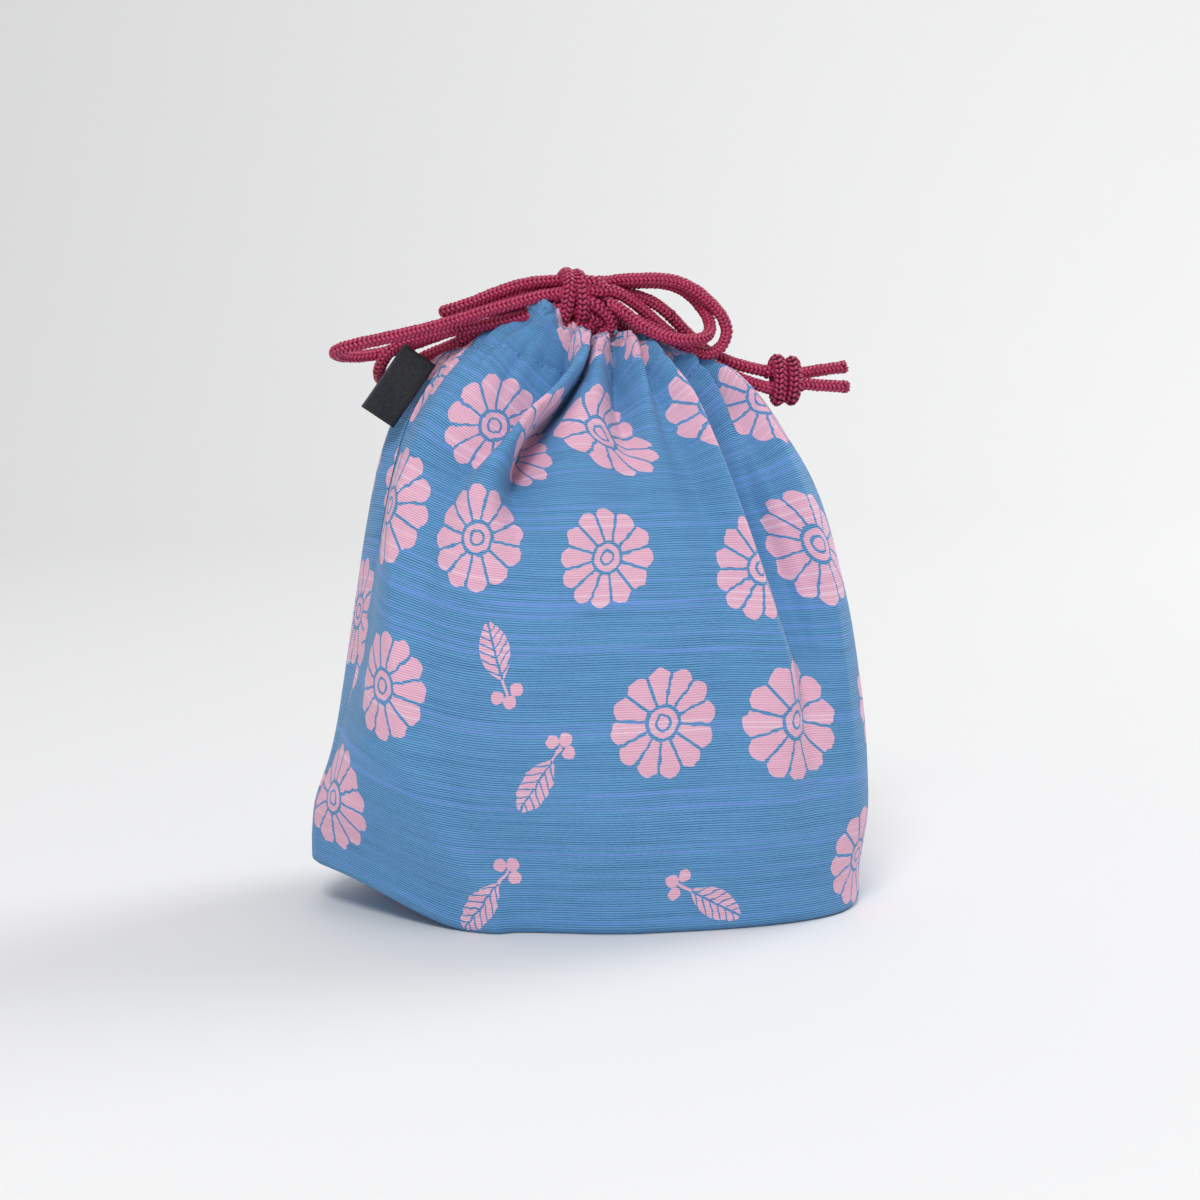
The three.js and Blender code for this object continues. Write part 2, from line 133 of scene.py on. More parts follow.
class Value:
    """One number that a tree works out, with arithmetic that adds the nodes it needs."""

    __add__ = two_operands("ADD")
    __radd__ = two_operands("ADD", swapped=True)
    __sub__ = two_operands("SUBTRACT")
    __rsub__ = two_operands("SUBTRACT", swapped=True)
    __mul__ = two_operands("MULTIPLY")
    __rmul__ = two_operands("MULTIPLY", swapped=True)
    __truediv__ = two_operands("DIVIDE")
    __mod__ = two_operands("FLOORED_MODULO")
    __lt__ = two_operands("LESS_THAN")
    __gt__ = two_operands("GREATER_THAN")
    most = two_operands("MAXIMUM")

    def __init__(self, kit: "TreeKit", socket: bpy.types.NodeSocket) -> None:
        self.kit = kit
        self.socket = socket

    def apply(self, operation: str) -> "Value":
        """Applies an operation of one operand, such as SQRT or FLOOR."""
        return self.kit.math(operation, self)

    def span(self, low: float, high: float, to_low: float = 0.0, to_high: float = 1.0) -> "Value":
        """Maps a range smoothly to another one and clamps it there.

        Args:
            low: the value that gives to_low.
            high: the value that gives to_high.
            to_low: the result at low.
            to_high: the result at high.

        Returns:
            The mapped number.
        """
        ends = {"From Min": low, "From Max": high, "To Min": to_low, "To Max": to_high}
        result = self.kit.out(
            "ShaderNodeMapRange", {"Value": self, **ends}, "Result", interpolation_type="SMOOTHSTEP"
        )
        return Value(self.kit, result)


class TreeKit:
    """Adds nodes to one tree."""

    tree: bpy.types.NodeTree

    def node(self, kind: str, inputs: dict | None = None, **settings: object) -> bpy.types.Node:
        """Adds any node.

        Args:
            kind: the node's type.
            inputs: values or links by the name or number of an input socket.
            settings: properties, which are set before the sockets.

        Returns:
            The node.
        """
        node = self.tree.nodes.new(kind)
        for key, value in settings.items():
            setattr(node, key, value)
        for key, value in (inputs or {}).items():
            socket = node.inputs[key]
            source = getattr(value, "socket", value)
            if isinstance(source, bpy.types.NodeSocket):
                self.tree.links.new(source, socket)
            elif isinstance(value, tuple) and len(value) == 3 and len(socket.default_value) == 4:
                socket.default_value = (*value, 1.0)
            else:
                socket.default_value = value
        return node

    def out(
        self, kind: str, inputs: dict | None = None, output: int | str = 0, **settings: object
    ) -> bpy.types.NodeSocket:
        """Adds a node and gives one of its outputs."""
        return self.node(kind, inputs, **settings).outputs[output]

    def math(self, operation: str, *operands: Operand) -> Value:
        """Adds a Math node on up to three numbers."""
        return Value(self, self.out("ShaderNodeMath", dict(enumerate(operands)), operation=operation))


class NodeKit(TreeKit):
    """Adds nodes to one material's tree."""

    def __init__(self, name: str) -> None:
        """Makes a material of that name with an empty tree."""
        self.material = bpy.data.materials.new(name)
        self.material.use_nodes = True
        self.tree = self.material.node_tree
        self.tree.nodes.clear()

    def place(self) -> bpy.types.NodeSocket:
        """Gives the place on the object."""
        return self.out("ShaderNodeTexCoord", output="Object")

    def uv(self) -> tuple[Value, Value]:
        """Gives the piece's own flat coordinates, in millimetres of cloth or cord."""
        parts = self.node("ShaderNodeSeparateXYZ", {0: self.out("ShaderNodeTexCoord", output="UV")})
        return Value(self, parts.outputs[0]) * 1000.0, Value(self, parts.outputs[1]) * 1000.0

    def vector(self, x: Operand, y: Operand, z: Operand = 0.0) -> bpy.types.NodeSocket:
        """Joins three numbers into a vector."""
        return self.out("ShaderNodeCombineXYZ", {0: x, 1: y, 2: z})

    def noise(self, at: bpy.types.NodeSocket, scale: float, detail: float = 2.0, rough: float = 0.5) -> Value:
        """Adds a noise texture, about 0.5 on average.

        Args:
            at: where it is read.
            scale: waves for each unit of length.
            detail: how many finer waves it adds.
            rough: how strong the finer waves are.

        Returns:
            Its value.
        """
        inputs = {"Vector": at, "Scale": scale, "Detail": detail, "Roughness": rough}
        return Value(self, self.out("ShaderNodeTexNoise", inputs))

    def mix(self, factor: Operand, first: object, second: object) -> bpy.types.NodeSocket:
        """Mixes two colours, each a tuple or a socket."""
        return self.out("ShaderNodeMix", {0: factor, 6: first, 7: second}, 2, data_type="RGBA")

    def finish(
        self, height: Value | None = None, distance: float = 0.0, **sockets: object
    ) -> bpy.types.Material:
        """Ends the tree in a principled surface.

        Args:
            height: the relief, if it has one.
            distance: the relief's height in metres.
            sockets: values or links by the name of an input of the surface, with _ for a space.

        Returns:
            The material.
        """
        inputs = {name.replace("_", " "): value for name, value in sockets.items()}
        if height is not None:
            relief = {"Height": height, "Distance": distance, "Strength": 1.0}
            inputs["Normal"] = self.out("ShaderNodeBump", relief)
        surface = self.out("ShaderNodeBsdfPrincipled", inputs)
        self.node("ShaderNodeOutputMaterial", {"Surface": surface})
        return self.material


class NodeTree(TreeKit):
    """A geometry tree with named inputs, built node by node."""

    def __init__(self, name: str) -> None:
        """Makes an empty tree with a geometry input and output."""
        self.tree = bpy.data.node_groups.new(name, "GeometryNodeTree")
        for way in ("INPUT", "OUTPUT"):
            self.tree.interface.new_socket("Geometry", in_out=way, socket_type="NodeSocketGeometry")
        self.start = self.tree.nodes.new("NodeGroupInput")
        self.end = self.tree.nodes.new("NodeGroupOutput")

    def size(self, name: str, value: float, kind: str = "NodeSocketFloat") -> Value:
        """Adds a named input and gives it as a number inside the tree."""
        self.tree.interface.new_socket(name, in_out="INPUT", socket_type=kind).default_value = value
        return Value(self, self.start.outputs[name])

    def samples(self, step: Value) -> bpy.types.NodeSocket:
        """Samples the line that the tree gets, evenly."""
        return self.out(
            "GeometryNodeResampleCurve", {"Curve": self.start.outputs[0], "Length": step}, mode="LENGTH"
        )

    def towards(self, axis: str, way: Operand, **more: object) -> bpy.types.NodeSocket:
        """Gives the rotation that turns an axis to a direction."""
        pivot = {"pivot_axis": "Z"} if more else {}
        inputs = {**more, "Factor": 1.0, "Vector": way}
        return self.out("FunctionNodeAlignRotationToVector", inputs, axis=axis, **pivot)

    def scatter(
        self, points: object, one: object, turn: object, seed: Value, low: Colour, high: Colour
    ) -> object:
        """Sets one shape on points, each with its own small difference in size.

        Args:
            points: where the shapes are set.
            one: the shape.
            turn: the rotation at each point.
            seed: seed of the sizes.
            low: the smallest scale.
            high: the largest scale.

        Returns:
            The shapes, as instances.
        """
        scale = self.out("FunctionNodeRandomValue", {0: low, 1: high, "Seed": seed}, data_type="FLOAT_VECTOR")
        inputs = {"Points": points, "Instance": one, "Rotation": turn, "Scale": scale}
        return self.out("GeometryNodeInstanceOnPoints", inputs)

    def finish(self, geometry: bpy.types.NodeSocket, material: bpy.types.Material) -> None:
        """Ends the tree with real geometry in one material."""
        real = self.out("GeometryNodeRealizeInstances", {0: geometry})
        smooth = self.out("GeometryNodeSetShadeSmooth", {0: real})
        dressed = self.out("GeometryNodeSetMaterial", {0: smooth, "Material": material})
        self.tree.links.new(dressed, self.end.inputs[0])

    def bake(self, name: str, points: Array, sizes: dict[str, float]) -> Piece:
        """Runs the tree on a line and gives the result as a plain mesh.

        Args:
            name: the piece's name.
            points: the line, in millimetres.
            sizes: the tree's inputs by name.

        Returns:
            The piece.
        """
        source = poly_line(name, points)
        modifier = source.modifiers.new("shape", "NODES")
        modifier.node_group = self.tree
        for item in self.tree.interface.items_tree:
            if item.item_type == "SOCKET" and item.in_out == "INPUT" and item.name in sizes:
                modifier[item.identifier] = sizes[item.name]
        bpy.context.view_layer.update()
        evaluated = source.evaluated_get(bpy.context.evaluated_depsgraph_get())
        mesh = bpy.data.meshes.new_from_object(evaluated)
        source.modifiers.remove(modifier)
        bpy.data.objects.remove(source)
        mesh.name = name
        return put_in_scene(name, mesh)


# Finishes


@dataclass(frozen=True)
class PrintedCotton:
    """Ribbed cotton with slubs along the ribs and painted shade in the grooves between them, and a scattered
    print of round flowers, leaves and berries.
    """

    name: str
    # The darker colours between the ribs, on the ground and in the flowers, are painted shade in the grooves
    crest: Colour = srgb(110, 168, 218)
    groove_shade: Colour = srgb(34, 92, 138)
    slub: Colour = srgb(116, 156, 228)
    flower: Colour = srgb(243, 192, 213)
    flower_groove_shade: Colour = srgb(206, 140, 172)
    flower_slub: Colour = srgb(250, 216, 232)
    rib: float = 0.84
    cell: float = 54.0
    sprig_cell: float = 44.0
    shift: tuple[float, float] = (0.0, 0.0)

    @staticmethod
    def _random(kit: NodeKit, x: Operand, y: Operand, seed: float) -> Value:
        """Gives one number from 0 to 1 for each cell of a layout."""
        inputs = {"Vector": kit.vector(x, y, seed)}
        return Value(kit, kit.out("ShaderNodeTexWhiteNoise", inputs, "Value", noise_dimensions="3D"))

    def _cell(
        self, kit: NodeKit, u: Value, v: Value, size: float, jitter: float, seed: float
    ) -> tuple[Value, Value, Value, list[Value]]:
        """Finds the cell of a staggered layout in which a place lies.

        Args:
            kit: the material's kit.
            u: place across the cloth.
            v: place up the cloth.
            size: side of a cell.
            jitter: how far a motif's middle may lie from its cell's.
            seed: first of the cell's seeds.

        Returns:
            The place measured from the motif's middle, the cell's row and four random numbers of the cell.
        """
        row = (v / size).apply("FLOOR")
        slid = u + (row % 2.0) * (0.5 * size)
        column = (slid / size).apply("FLOOR")
        chances = [self._random(kit, column, row, seed + 6.0 * k) for k in range(4)]
        x = slid - (column + 0.5) * size - (chances[0] - 0.5) * (2 * jitter)
        y = v - (row + 0.5) * size - (chances[1] - 0.5) * (2 * jitter)
        return x, y, row, chances

    def _present(self, row: Value, chance: Value) -> Value:
        """Says which cells hold a flower: few near the foot, nearly all near the mouth."""
        return (chance + (row + 0.5) * (self.cell * 1.3 / 300.0)) > 0.75

    def _print(self, kit: NodeKit, u: Value, v: Value) -> Value:
        """Draws the print: 1 inside a flower, leaf or berry, 0 on the ground."""
        wobble = kit.noise(kit.vector(u, v), 0.35, 2.0)
        u = u + (wobble - 0.5) * 1.8 + self.shift[0]
        v = v + (0.5 - wobble) * 1.8 + self.shift[1]
        x, y, row, (_, two, three, four) = self._cell(kit, u, v, self.cell, 6.0, 1.5)
        size = 17.5 + three * 5.0
        radius = (x * x + y * y).apply("SQRT")
        turn = kit.math("ARCTAN2", y, x) + two * 6.0
        half = math.pi / 12
        petal = (turn % (2 * half)) - half
        rim = size * ((petal * 6.0).apply("COSINE") * 0.13 + 0.87)
        apart = radius * (half - petal.apply("ABSOLUTE")) > 0.55
        petals = (radius < rim) * (radius > size * 0.34) * apart
        heart = (radius < size * 0.27) * (1.0 - (radius > size * 0.11) * (radius < size * 0.16))
        present = self._present(row, four)
        flowers = petals.most(heart) * present
        clear = 1.0 - (radius < size * 1.14) * present
        return flowers.most(self._sprigs(kit, u, v) * clear)

    def _sprigs(self, kit: NodeKit, u: Value, v: Value) -> Value:
        """Draws leaves with their veins, each on a short stem with three berries."""
        x, y, _, (_, _, three, four) = self._cell(kit, u + 17.0, v + 9.0, self.sprig_cell, 3.0, 31.5)
        turn = three * 6.28
        cosine, sine = turn.apply("COSINE"), turn.apply("SINE")
        along = x * cosine + y * sine - 4.0
        across = (y * cosine - x * sine).apply("ABSOLUTE")
        lens = (along * along + (across + 9.2) * (across + 9.2)).apply("SQRT") < 14.6
        veins = ((along - across * 0.9) % 3.3) > 0.75
        leaf = lens * (across > 0.42) * veins
        # No sprig lies where a flower of the cell under its middle would cut it
        flower_x, flower_y, row, near = self._cell(kit, u - x, v - y, self.cell, 6.0, 1.5)
        apart = (flower_x * flower_x + flower_y * flower_y).apply("SQRT") > 38.0
        free = apart.most(1.0 - self._present(row, near[3]))
        stem = (across < 0.5) * (along < -11.0) * (along > -17.0)
        pair_x, pair_y = along + 16.5, across - 3.6
        pair = (pair_x * pair_x + pair_y * pair_y) < 5.6
        last_x = along + 19.6
        last = (last_x * last_x + across * across) < 5.6
        return leaf.most(stem).most(pair).most(last) * (four > 0.25) * free

    def build(self) -> bpy.types.Material:
        """Makes the material."""
        kit = NodeKit(self.name)
        u, v = kit.uv()
        # The ribs wander a little, and each is lighter or darker along its length, as uneven yarn is
        drift = kit.noise(kit.vector(u * 0.012, v * 0.05), 1.0, 2.0)
        place = v + (drift - 0.5) * 1.4
        ribs = place / self.rib
        index = ribs.apply("FLOOR")
        off = (ribs - index - 0.5) * 2.0
        # crest is 1 on a rib and 0 between ribs: it paints shade into the grooves and raises the ribs' bump
        crest = 1.0 - off * off
        tone = kit.noise(kit.vector(u * 0.022, index * 3.71), 1.0, 2.0, 0.6)
        fine = kit.noise(kit.vector(u * 0.5, place * 2.6), 1.0, 2.0)
        bead = (u * (2 * math.pi / 0.6) + (index % 2.0) * math.pi).apply("SINE")
        chance = self._random(kit, index, 3.3, 5.1)
        long = kit.noise(kit.vector(u * 0.011, index * 2.7), 1.0, 1.0).span(0.40, 0.50)
        slub = chance.span(0.82, 0.94) * long
        # The shade mixes the ribs' random uneven tone with painted shade in the grooves between them
        shade = crest * 0.86 + (tone - 0.5) * 0.7 + (fine - 0.5) * 0.35 + bead * 0.06 - 0.06
        ground = kit.mix(shade.span(-0.08, 0.86), self.groove_shade, self.crest)
        ground = kit.mix(slub * 0.72, ground, self.slub)
        petal = kit.mix(shade.span(-0.25, 0.8), self.flower_groove_shade, self.flower)
        petal = kit.mix(slub * 0.6, petal, self.flower_slub)
        return kit.finish(
            crest * 0.8 + (tone - 0.5) * 0.9 + bead * 0.14 + slub * 0.7,
            0.00012,
            Base_Color=kit.mix(self._print(kit, u, v), ground, petal),
            Roughness=tone.span(0.3, 0.7, 0.78, 0.92),
            Sheen_Weight=0.15,
            Sheen_Roughness=0.45,
            Specular_IOR_Level=0.25,
        )


@dataclass(frozen=True)
class BraidedCord:
    """Soft braided cord: shiny deep red yarn, with painted shade in the crevices between its lobes and
    painted highlights on their tops.
    """

    name: str
    yarn: Colour = srgb(174, 38, 82)
    # Painted shade for the crevices, and painted highlight for the lobes' tops
    shade: Colour = srgb(66, 12, 48)
    glint: Colour = srgb(252, 108, 148)

    def build(self) -> bpy.types.Material:
        """Makes the material."""
        kit = NodeKit(self.name)
        crown = Value(kit, kit.out("ShaderNodeAttribute", output="Fac", attribute_name="crown"))
        fibre = kit.noise(kit.place(), 2600.0, 2.0)
        patch = kit.noise(kit.place(), 420.0, 1.0)
        # Painted shade: darker where a lobe's crown is low, in the crevices and on the core, mixed with a
        # random real tone
        colour = kit.mix((crown + (patch - 0.5) * 0.5).span(-0.1, 0.75), self.shade, self.yarn)
        # Painted highlight on the tops of the lobes
        lit = crown.span(0.75, 1.0) * fibre.span(0.35, 0.7) * 0.8
        return kit.finish(
            fibre,
            0.00005,
            Base_Color=kit.mix(lit, colour, self.glint),
            Roughness=fibre.span(0.3, 0.7, 0.36, 0.52),
            Sheen_Weight=0.12,
            Sheen_Roughness=0.3,
            Sheen_Tint=srgb(255, 120, 150),
        )


@dataclass(frozen=True)
class SatinRibbon:
    """Black satin ribbon of the folded label, bare of any words, with a painted highlight along its fold."""

    name: str
    ground: Colour = srgb(22, 24, 28)
    # Lighter colour for the random mottle and for the painted highlight along the fold
    edge: Colour = srgb(78, 82, 90)
    fold_at: float = 14.0

    def build(self) -> bpy.types.Material:
        """Makes the material."""
        kit = NodeKit(self.name)
        u, v = kit.uv()
        weave = (u * 9.0).apply("SINE") * (v * 9.0).apply("SINE")
        mottle = kit.noise(kit.vector(u, v), 0.9, 3.0)
        # Painted highlight along the fold, growing towards the fold's edge
        fold_highlight = (u % 40.0).span(self.fold_at - 1.1, self.fold_at, 0.0, 0.55)
        colour = kit.mix(mottle.span(0.35, 0.8, 0.0, 0.3).most(fold_highlight), self.ground, self.edge)
        return kit.finish(weave, 0.00002, Base_Color=colour, Roughness=mottle.span(0.3, 0.7, 0.34, 0.46))


@dataclass(frozen=True)
class Thread:
    """Sewing thread, matt and slightly twisted."""

    name: str
    colour: Colour = srgb(84, 146, 204)
    light: Colour = srgb(150, 192, 232)

    def build(self) -> bpy.types.Material:
        """Makes the material."""
        kit = NodeKit(self.name)
        ply = kit.noise(kit.place(), 3000.0, 1.0)
        colour = kit.mix(ply.span(0.3, 0.7), self.colour, self.light)
        return kit.finish(ply, 0.00004, Base_Color=colour, Roughness=0.7)


# Meshes and lines


def put_in_scene(name: str, data: bpy.types.ID) -> Piece:
    """Makes an object of that data at the origin, and links it."""
    piece = bpy.data.objects.new(name, data)
    bpy.context.scene.collection.objects.link(piece)
    return piece


def add_mesh(
    name: str,
    points: Array,
    faces: Sequence[Sequence[int]],
    material: bpy.types.Material,
    uv: Array | None = None,
    crown: float | None = None,
) -> Piece:
    """Makes an object from points in millimetres.

    Args:
        name: the piece's name.
        points: the vertices, in rows of any shape.
        faces: the vertices of each face.
        material: what it is made of.
        uv: flat coordinates in millimetres for each vertex.
        crown: how much a cord's yarn lies on top there, from which the cord's finish paints its shade and
            highlights.

    Returns:
        The object, at the origin, smooth shaded.
    """
    mesh = bpy.data.meshes.new(name)
    mesh.from_pydata((np.reshape(points, (-1, 3)) * MM).tolist(), [], [list(map(int, f)) for f in faces])
    mesh.polygons.foreach_set("use_smooth", [True] * len(mesh.polygons))
    if uv is not None:
        corners = np.empty(len(mesh.loops), dtype=np.int32)
        mesh.loops.foreach_get("vertex_index", corners)
        layer = mesh.uv_layers.new(name="UVMap")
        layer.data.foreach_set("uv", (np.reshape(uv, (-1, 2))[corners] * MM).ravel())
    if crown is not None:
        layer = mesh.attributes.new("crown", "FLOAT", "POINT")
        layer.data.foreach_set("value", [crown] * len(mesh.vertices))
    mesh.materials.append(material)
    mesh.update()
    LOG.info("%s: %d faces", name, len(mesh.polygons))
    return put_in_scene(name, mesh)


def grid_faces(rows: int, columns: int, closed: bool = False, flip: bool = False) -> list[list[int]]:
    """Lists the faces of a grid of vertices stored row by row.

    Args:
        rows: how many rows.
        columns: how many vertices in a row.
        closed: whether the last column joins the first.
        flip: whether the faces turn the other way.

    Returns:
        The faces.
    """
    faces = []
    for r in range(rows - 1):
        for c in range(columns if closed else columns - 1):
            a, b = r * columns + c, r * columns + (c + 1) % columns
            quad = [a, b, b + columns, a + columns]
            faces.append(quad[::-1] if flip else quad)
    return faces


def run_along(points: Array) -> Array:
    """Gives the distance along a line at each of its points."""
    return np.concatenate([[0], np.cumsum(np.linalg.norm(np.diff(points, axis=0), axis=1))])


def evenly(points: Array, count: int) -> Array:
    """Spaces that many points evenly along a line."""
    run = run_along(points)
    at = np.linspace(0, run[-1], count)
    return np.stack([np.interp(at, run, points[:, k]) for k in range(3)], axis=1)


def smooth_line(points: Route, step: float) -> Array:
    """Runs a smooth line through points and samples it evenly.

    Args:
        points: the points it passes.
        step: the spacing wanted.

    Returns:
        The samples, first and last point included.
    """
    p = np.asarray(points, float)
    q = np.asarray([2 * p[0] - p[1], *p, 2 * p[-1] - p[-2]])
    dense = []
    for i in range(1, len(q) - 2):
        knots = [0.0]
        for a, b in zip(q[i - 1 : i + 2], q[i : i + 3]):
            knots.append(knots[-1] + max(float(np.linalg.norm(b - a)) ** 0.5, 1e-4))
        t = np.linspace(knots[1], knots[2], 24, endpoint=False)[:, None]
        parts = list(q[i - 1 : i + 3])
        for spans in (((0, 1), (1, 2), (2, 3)), ((0, 2), (1, 3)), ((1, 2),)):
            ends = [(knots[low], knots[high]) for low, high in spans]
            parts = [
                (high - t) / (high - low) * a + (t - low) / (high - low) * b
                for (low, high), a, b in zip(ends, parts, parts[1:])
            ]
        dense.append(parts[0])
    line = np.vstack([*dense, p[-1:]])
    return evenly(line, max(2, int(round(run_along(line)[-1] / step)) + 1))


def line_length(points: Array) -> float:
    """Measures a line through points."""
    return float(np.linalg.norm(np.diff(points, axis=0), axis=1).sum())


def poly_line(name: str, points: Array) -> Piece:
    """Makes a curve object through points in millimetres."""
    curve = bpy.data.curves.new(name, "CURVE")
    curve.dimensions = "3D"
    spline = curve.splines.new("POLY")
    spline.points.add(len(points) - 1)
    spline.points.foreach_set("co", np.column_stack([np.asarray(points) * MM, np.ones(len(points))]).ravel())
    return put_in_scene(name, curve)


def settle(piece: Piece, body: Body | None = None, node: str | None = None) -> None:
    """Hides the part that a piece replaces and hangs the piece on its body.

    Args:
        piece: the piece.
        body: the body that it rides on, if it is given one.
        node: the node that it replaces.
    """
    if node:
        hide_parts(node)
    if body:
        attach(piece, body.value)


# The bag's cloth


@dataclass(frozen=True)
class Fold:
    """One ridge or hollow of the cloth, level by level from the foot to the rim.

    Angles say where it lies and heights how far it stands over the smooth form. Leans say how far it slides
    to the right, so that a roll can hang over the crease beside it. The roundness is about 1 for a crease.
    """

    angles: Sequence[float]
    heights: Sequence[float]
    leans: Sequence[float]
    roundness: float


STILL = (0.0,) * 14
LEFT_EDGE = Fold(
    (-2.13, -2.24, -2.33, -2.44, -2.57, -2.70, -2.80, -2.76, -2.66, -2.53, -2.46, -2.50, -2.60, -2.62),
    (5.4, 5.2, 5.0, 5.2, 5.8, 6.2, 6.2, 5.2, 3.8, 2.2, 1.0, 0.5, 0.2, 0.0),
    STILL,
    1.1,
)
LEFT_HOLLOW = Fold(
    (-2.06, -2.12, -2.18, -2.27, -2.37, -2.45, -2.48, -2.38, -2.18, -2.04, -1.98, -2.03, -2.08, -2.13),
    (1.5, 1.0, 0.6, 0.2, 0.0, -0.6, -2.2, -5.4, -8.8, -9.8, -8.6, -6.6, -4.6, -3.0),
    (0, 0, 0, 0, 0, 0, 0, 1.4, 5.4, 7.6, 7.2, 5.2, 2.6, 0.8),
    1.2,
)
BIG_ROLL = Fold(
    (-1.98, -2.00, -2.01, -2.02, -2.06, -2.12, -2.17, -2.15, -2.06, -1.92, -1.83, -1.82, -1.82, -1.85),
    (0.4, 0.2, 0.0, 0.2, 0.4, 0.8, 1.6, 3.8, 9.2, 9.8, 9.0, 7.2, 5.0, 3.4),
    (0, 0, 0, 0, 0, 0, 0.5, 2.0, 6.2, 7.2, 6.6, 5.2, 3.4, 1.8),
    2.1,
)
DEEP_CREASE = Fold(
    (-1.89, -1.88, -1.87, -1.84, -1.85, -1.87, -1.91, -1.94, -1.92, -1.77, -1.69, -1.67, -1.66, -1.66),
    (0.0, 0.0, 0.0, 0.0, 0.0, -0.4, -2.8, -8.8, -13.8, -14.6, -13.2, -11.0, -8.4, -6.0),
    (0, 0, 0, 0, 0, 0, -0.4, -1.8, -3.8, -4.2, -3.6, -2.9, -1.8, -0.8),
    1.1,
)
MIDDLE_CREST = Fold(
    (-1.72, -1.71, -1.70, -1.67, -1.66, -1.66, -1.66, -1.66, -1.66, -1.62, -1.58, -1.56, -1.54, -1.52),
    (0.4, 0.5, 0.5, 0.6, 0.8, 1.0, 1.4, 1.8, 3.2, 4.4, 4.4, 3.8, 3.0, 2.2),
    (0, 0, 0, 0, 0, 0, 0, -0.5, -1.5, -2.0, -2.0, -1.5, -1.0, 0),
    2.2,
)
MIDDLE_CREASE = Fold(
    (-1.57, -1.57, -1.57, -1.57, -1.57, -1.56, -1.56, -1.55, -1.53, -1.53, -1.50, -1.46, -1.43, -1.40),
    (0.5, 0.5, 0.5, 0.6, 0.7, 0.8, 0.8, -0.2, -4.2, -8.8, -10.4, -9.6, -7.6, -5.8),
    (0, 0, 0, 0, 0, 0, 0, 0, 0.5, 1.0, 1.0, 1.0, 0.5, 0),
    1.0,
)
NARROW_PLEAT = Fold(
    (-1.50, -1.51, -1.52, -1.52, -1.51, -1.49, -1.47, -1.46, -1.45, -1.43, -1.39, -1.34, -1.30, -1.27),
    (0.5, 0.5, 0.5, 0.6, 0.7, 0.9, 1.1, 1.3, 1.7, 3.0, 4.0, 4.0, 3.2, 2.2),
    (0, 0, 0, 0, 0, 0, 0, 0.4, 1.2, 2.2, 2.8, 2.4, 1.8, 1.2),
    1.6,
)
MIDDLE_HOLLOW = Fold(
    (-1.38, -1.39, -1.40, -1.40, -1.38, -1.36, -1.35, -1.34, -1.34, -1.31, -1.28, -1.23, -1.19, -1.17),
    (0.3, 0.3, 0.3, 0.3, 0.4, 0.4, 0.3, -0.2, -1.4, -3.0, -4.2, -4.4, -3.8, -3.0),
    (0, 0, 0, 0, 0, 0, 0, 0, 0, -0.6, -1.0, -1.0, -0.5, 0),
    1.5,
)
LONG_RIDGE = Fold(
    (-1.17, -1.18, -1.19, -1.18, -1.15, -1.19, -1.23, -1.25, -1.25, -1.22, -1.20, -1.14, -1.10, -1.08),
    (0.0, 0.0, 0.8, 2.6, 5.8, 8.4, 9.8, 10.6, 10.4, 9.2, 7.4, 5.4, 3.8, 2.6),
    (0, 0, 0, 0, 0, 0.2, 1.2, 2.4, 3.0, 2.6, 1.6, 0.8, 0.4, 0),
    1.35,
)
RIGHT_HOLLOW = Fold(
    (-1.01, -1.03, -1.03, -1.00, -0.97, -1.00, -1.03, -1.05, -1.03, -0.99, -0.97, -0.91, -0.86, -0.82),
    (0.0, 0.0, -0.6, -2.6, -6.8, -10.4, -13.0, -14.6, -14.2, -12.2, -9.6, -7.0, -5.0, -3.6),
    (0, 0, 0, 0, 0, -0.2, -0.8, -1.4, -1.6, -1.2, -0.6, 0, 0, 0),
    1.5,
)
RIGHT_GATHER = Fold(
    (-0.92, -0.93, -0.93, -0.91, -0.89, -0.92, -0.95, -0.96, -0.93, -0.88, -0.85, -0.79, -0.74, -0.70),
    (0.1, 0.2, 0.1, -1.0, -4.2, -7.2, -8.4, -8.0, -4.8, 0.2, 3.4, 3.8, 3.0, 1.8),
    (0, 0, 0, 0, 0, 0, 0, 0, 0.6, 1.2, 1.4, 1.2, 0.8, 0),
    1.5,
)
RIGHT_CREASE = Fold(
    (-0.83, -0.84, -0.84, -0.82, -0.81, -0.84, -0.88, -0.88, -0.84, -0.77, -0.74, -0.68, -0.62, -0.58),
    (0.2, 0.3, 0.6, 0.8, 0.2, -0.6, -0.8, -0.4, -1.4, -4.4, -6.0, -5.2, -3.8, -2.4),
    (0, 0, 0, 0, 0, 0, 0, 0, 0, -0.4, -0.6, -0.4, 0, 0),
    1.3,
)
RIGHT_RIDGE = Fold(
    (-0.74, -0.74, -0.74, -0.73, -0.73, -0.76, -0.80, -0.79, -0.74, -0.66, -0.62, -0.56, -0.50, -0.46),
    (0.3, 0.5, 1.2, 2.6, 4.6, 6.8, 8.4, 9.2, 8.6, 7.2, 5.8, 4.0, 2.8, 1.8),
    (0, 0, 0, 0, 0.5, 1.0, 1.2, 1.2, 1.0, 0.6, 0.3, 0, 0, 0),
    1.3,
)
FRONT_FOLDS = (
    LEFT_EDGE, LEFT_HOLLOW, BIG_ROLL, DEEP_CREASE, MIDDLE_CREST, MIDDLE_CREASE, NARROW_PLEAT, MIDDLE_HOLLOW,
    LONG_RIDGE, RIGHT_HOLLOW, RIGHT_GATHER, RIGHT_CREASE, RIGHT_RIDGE,
)


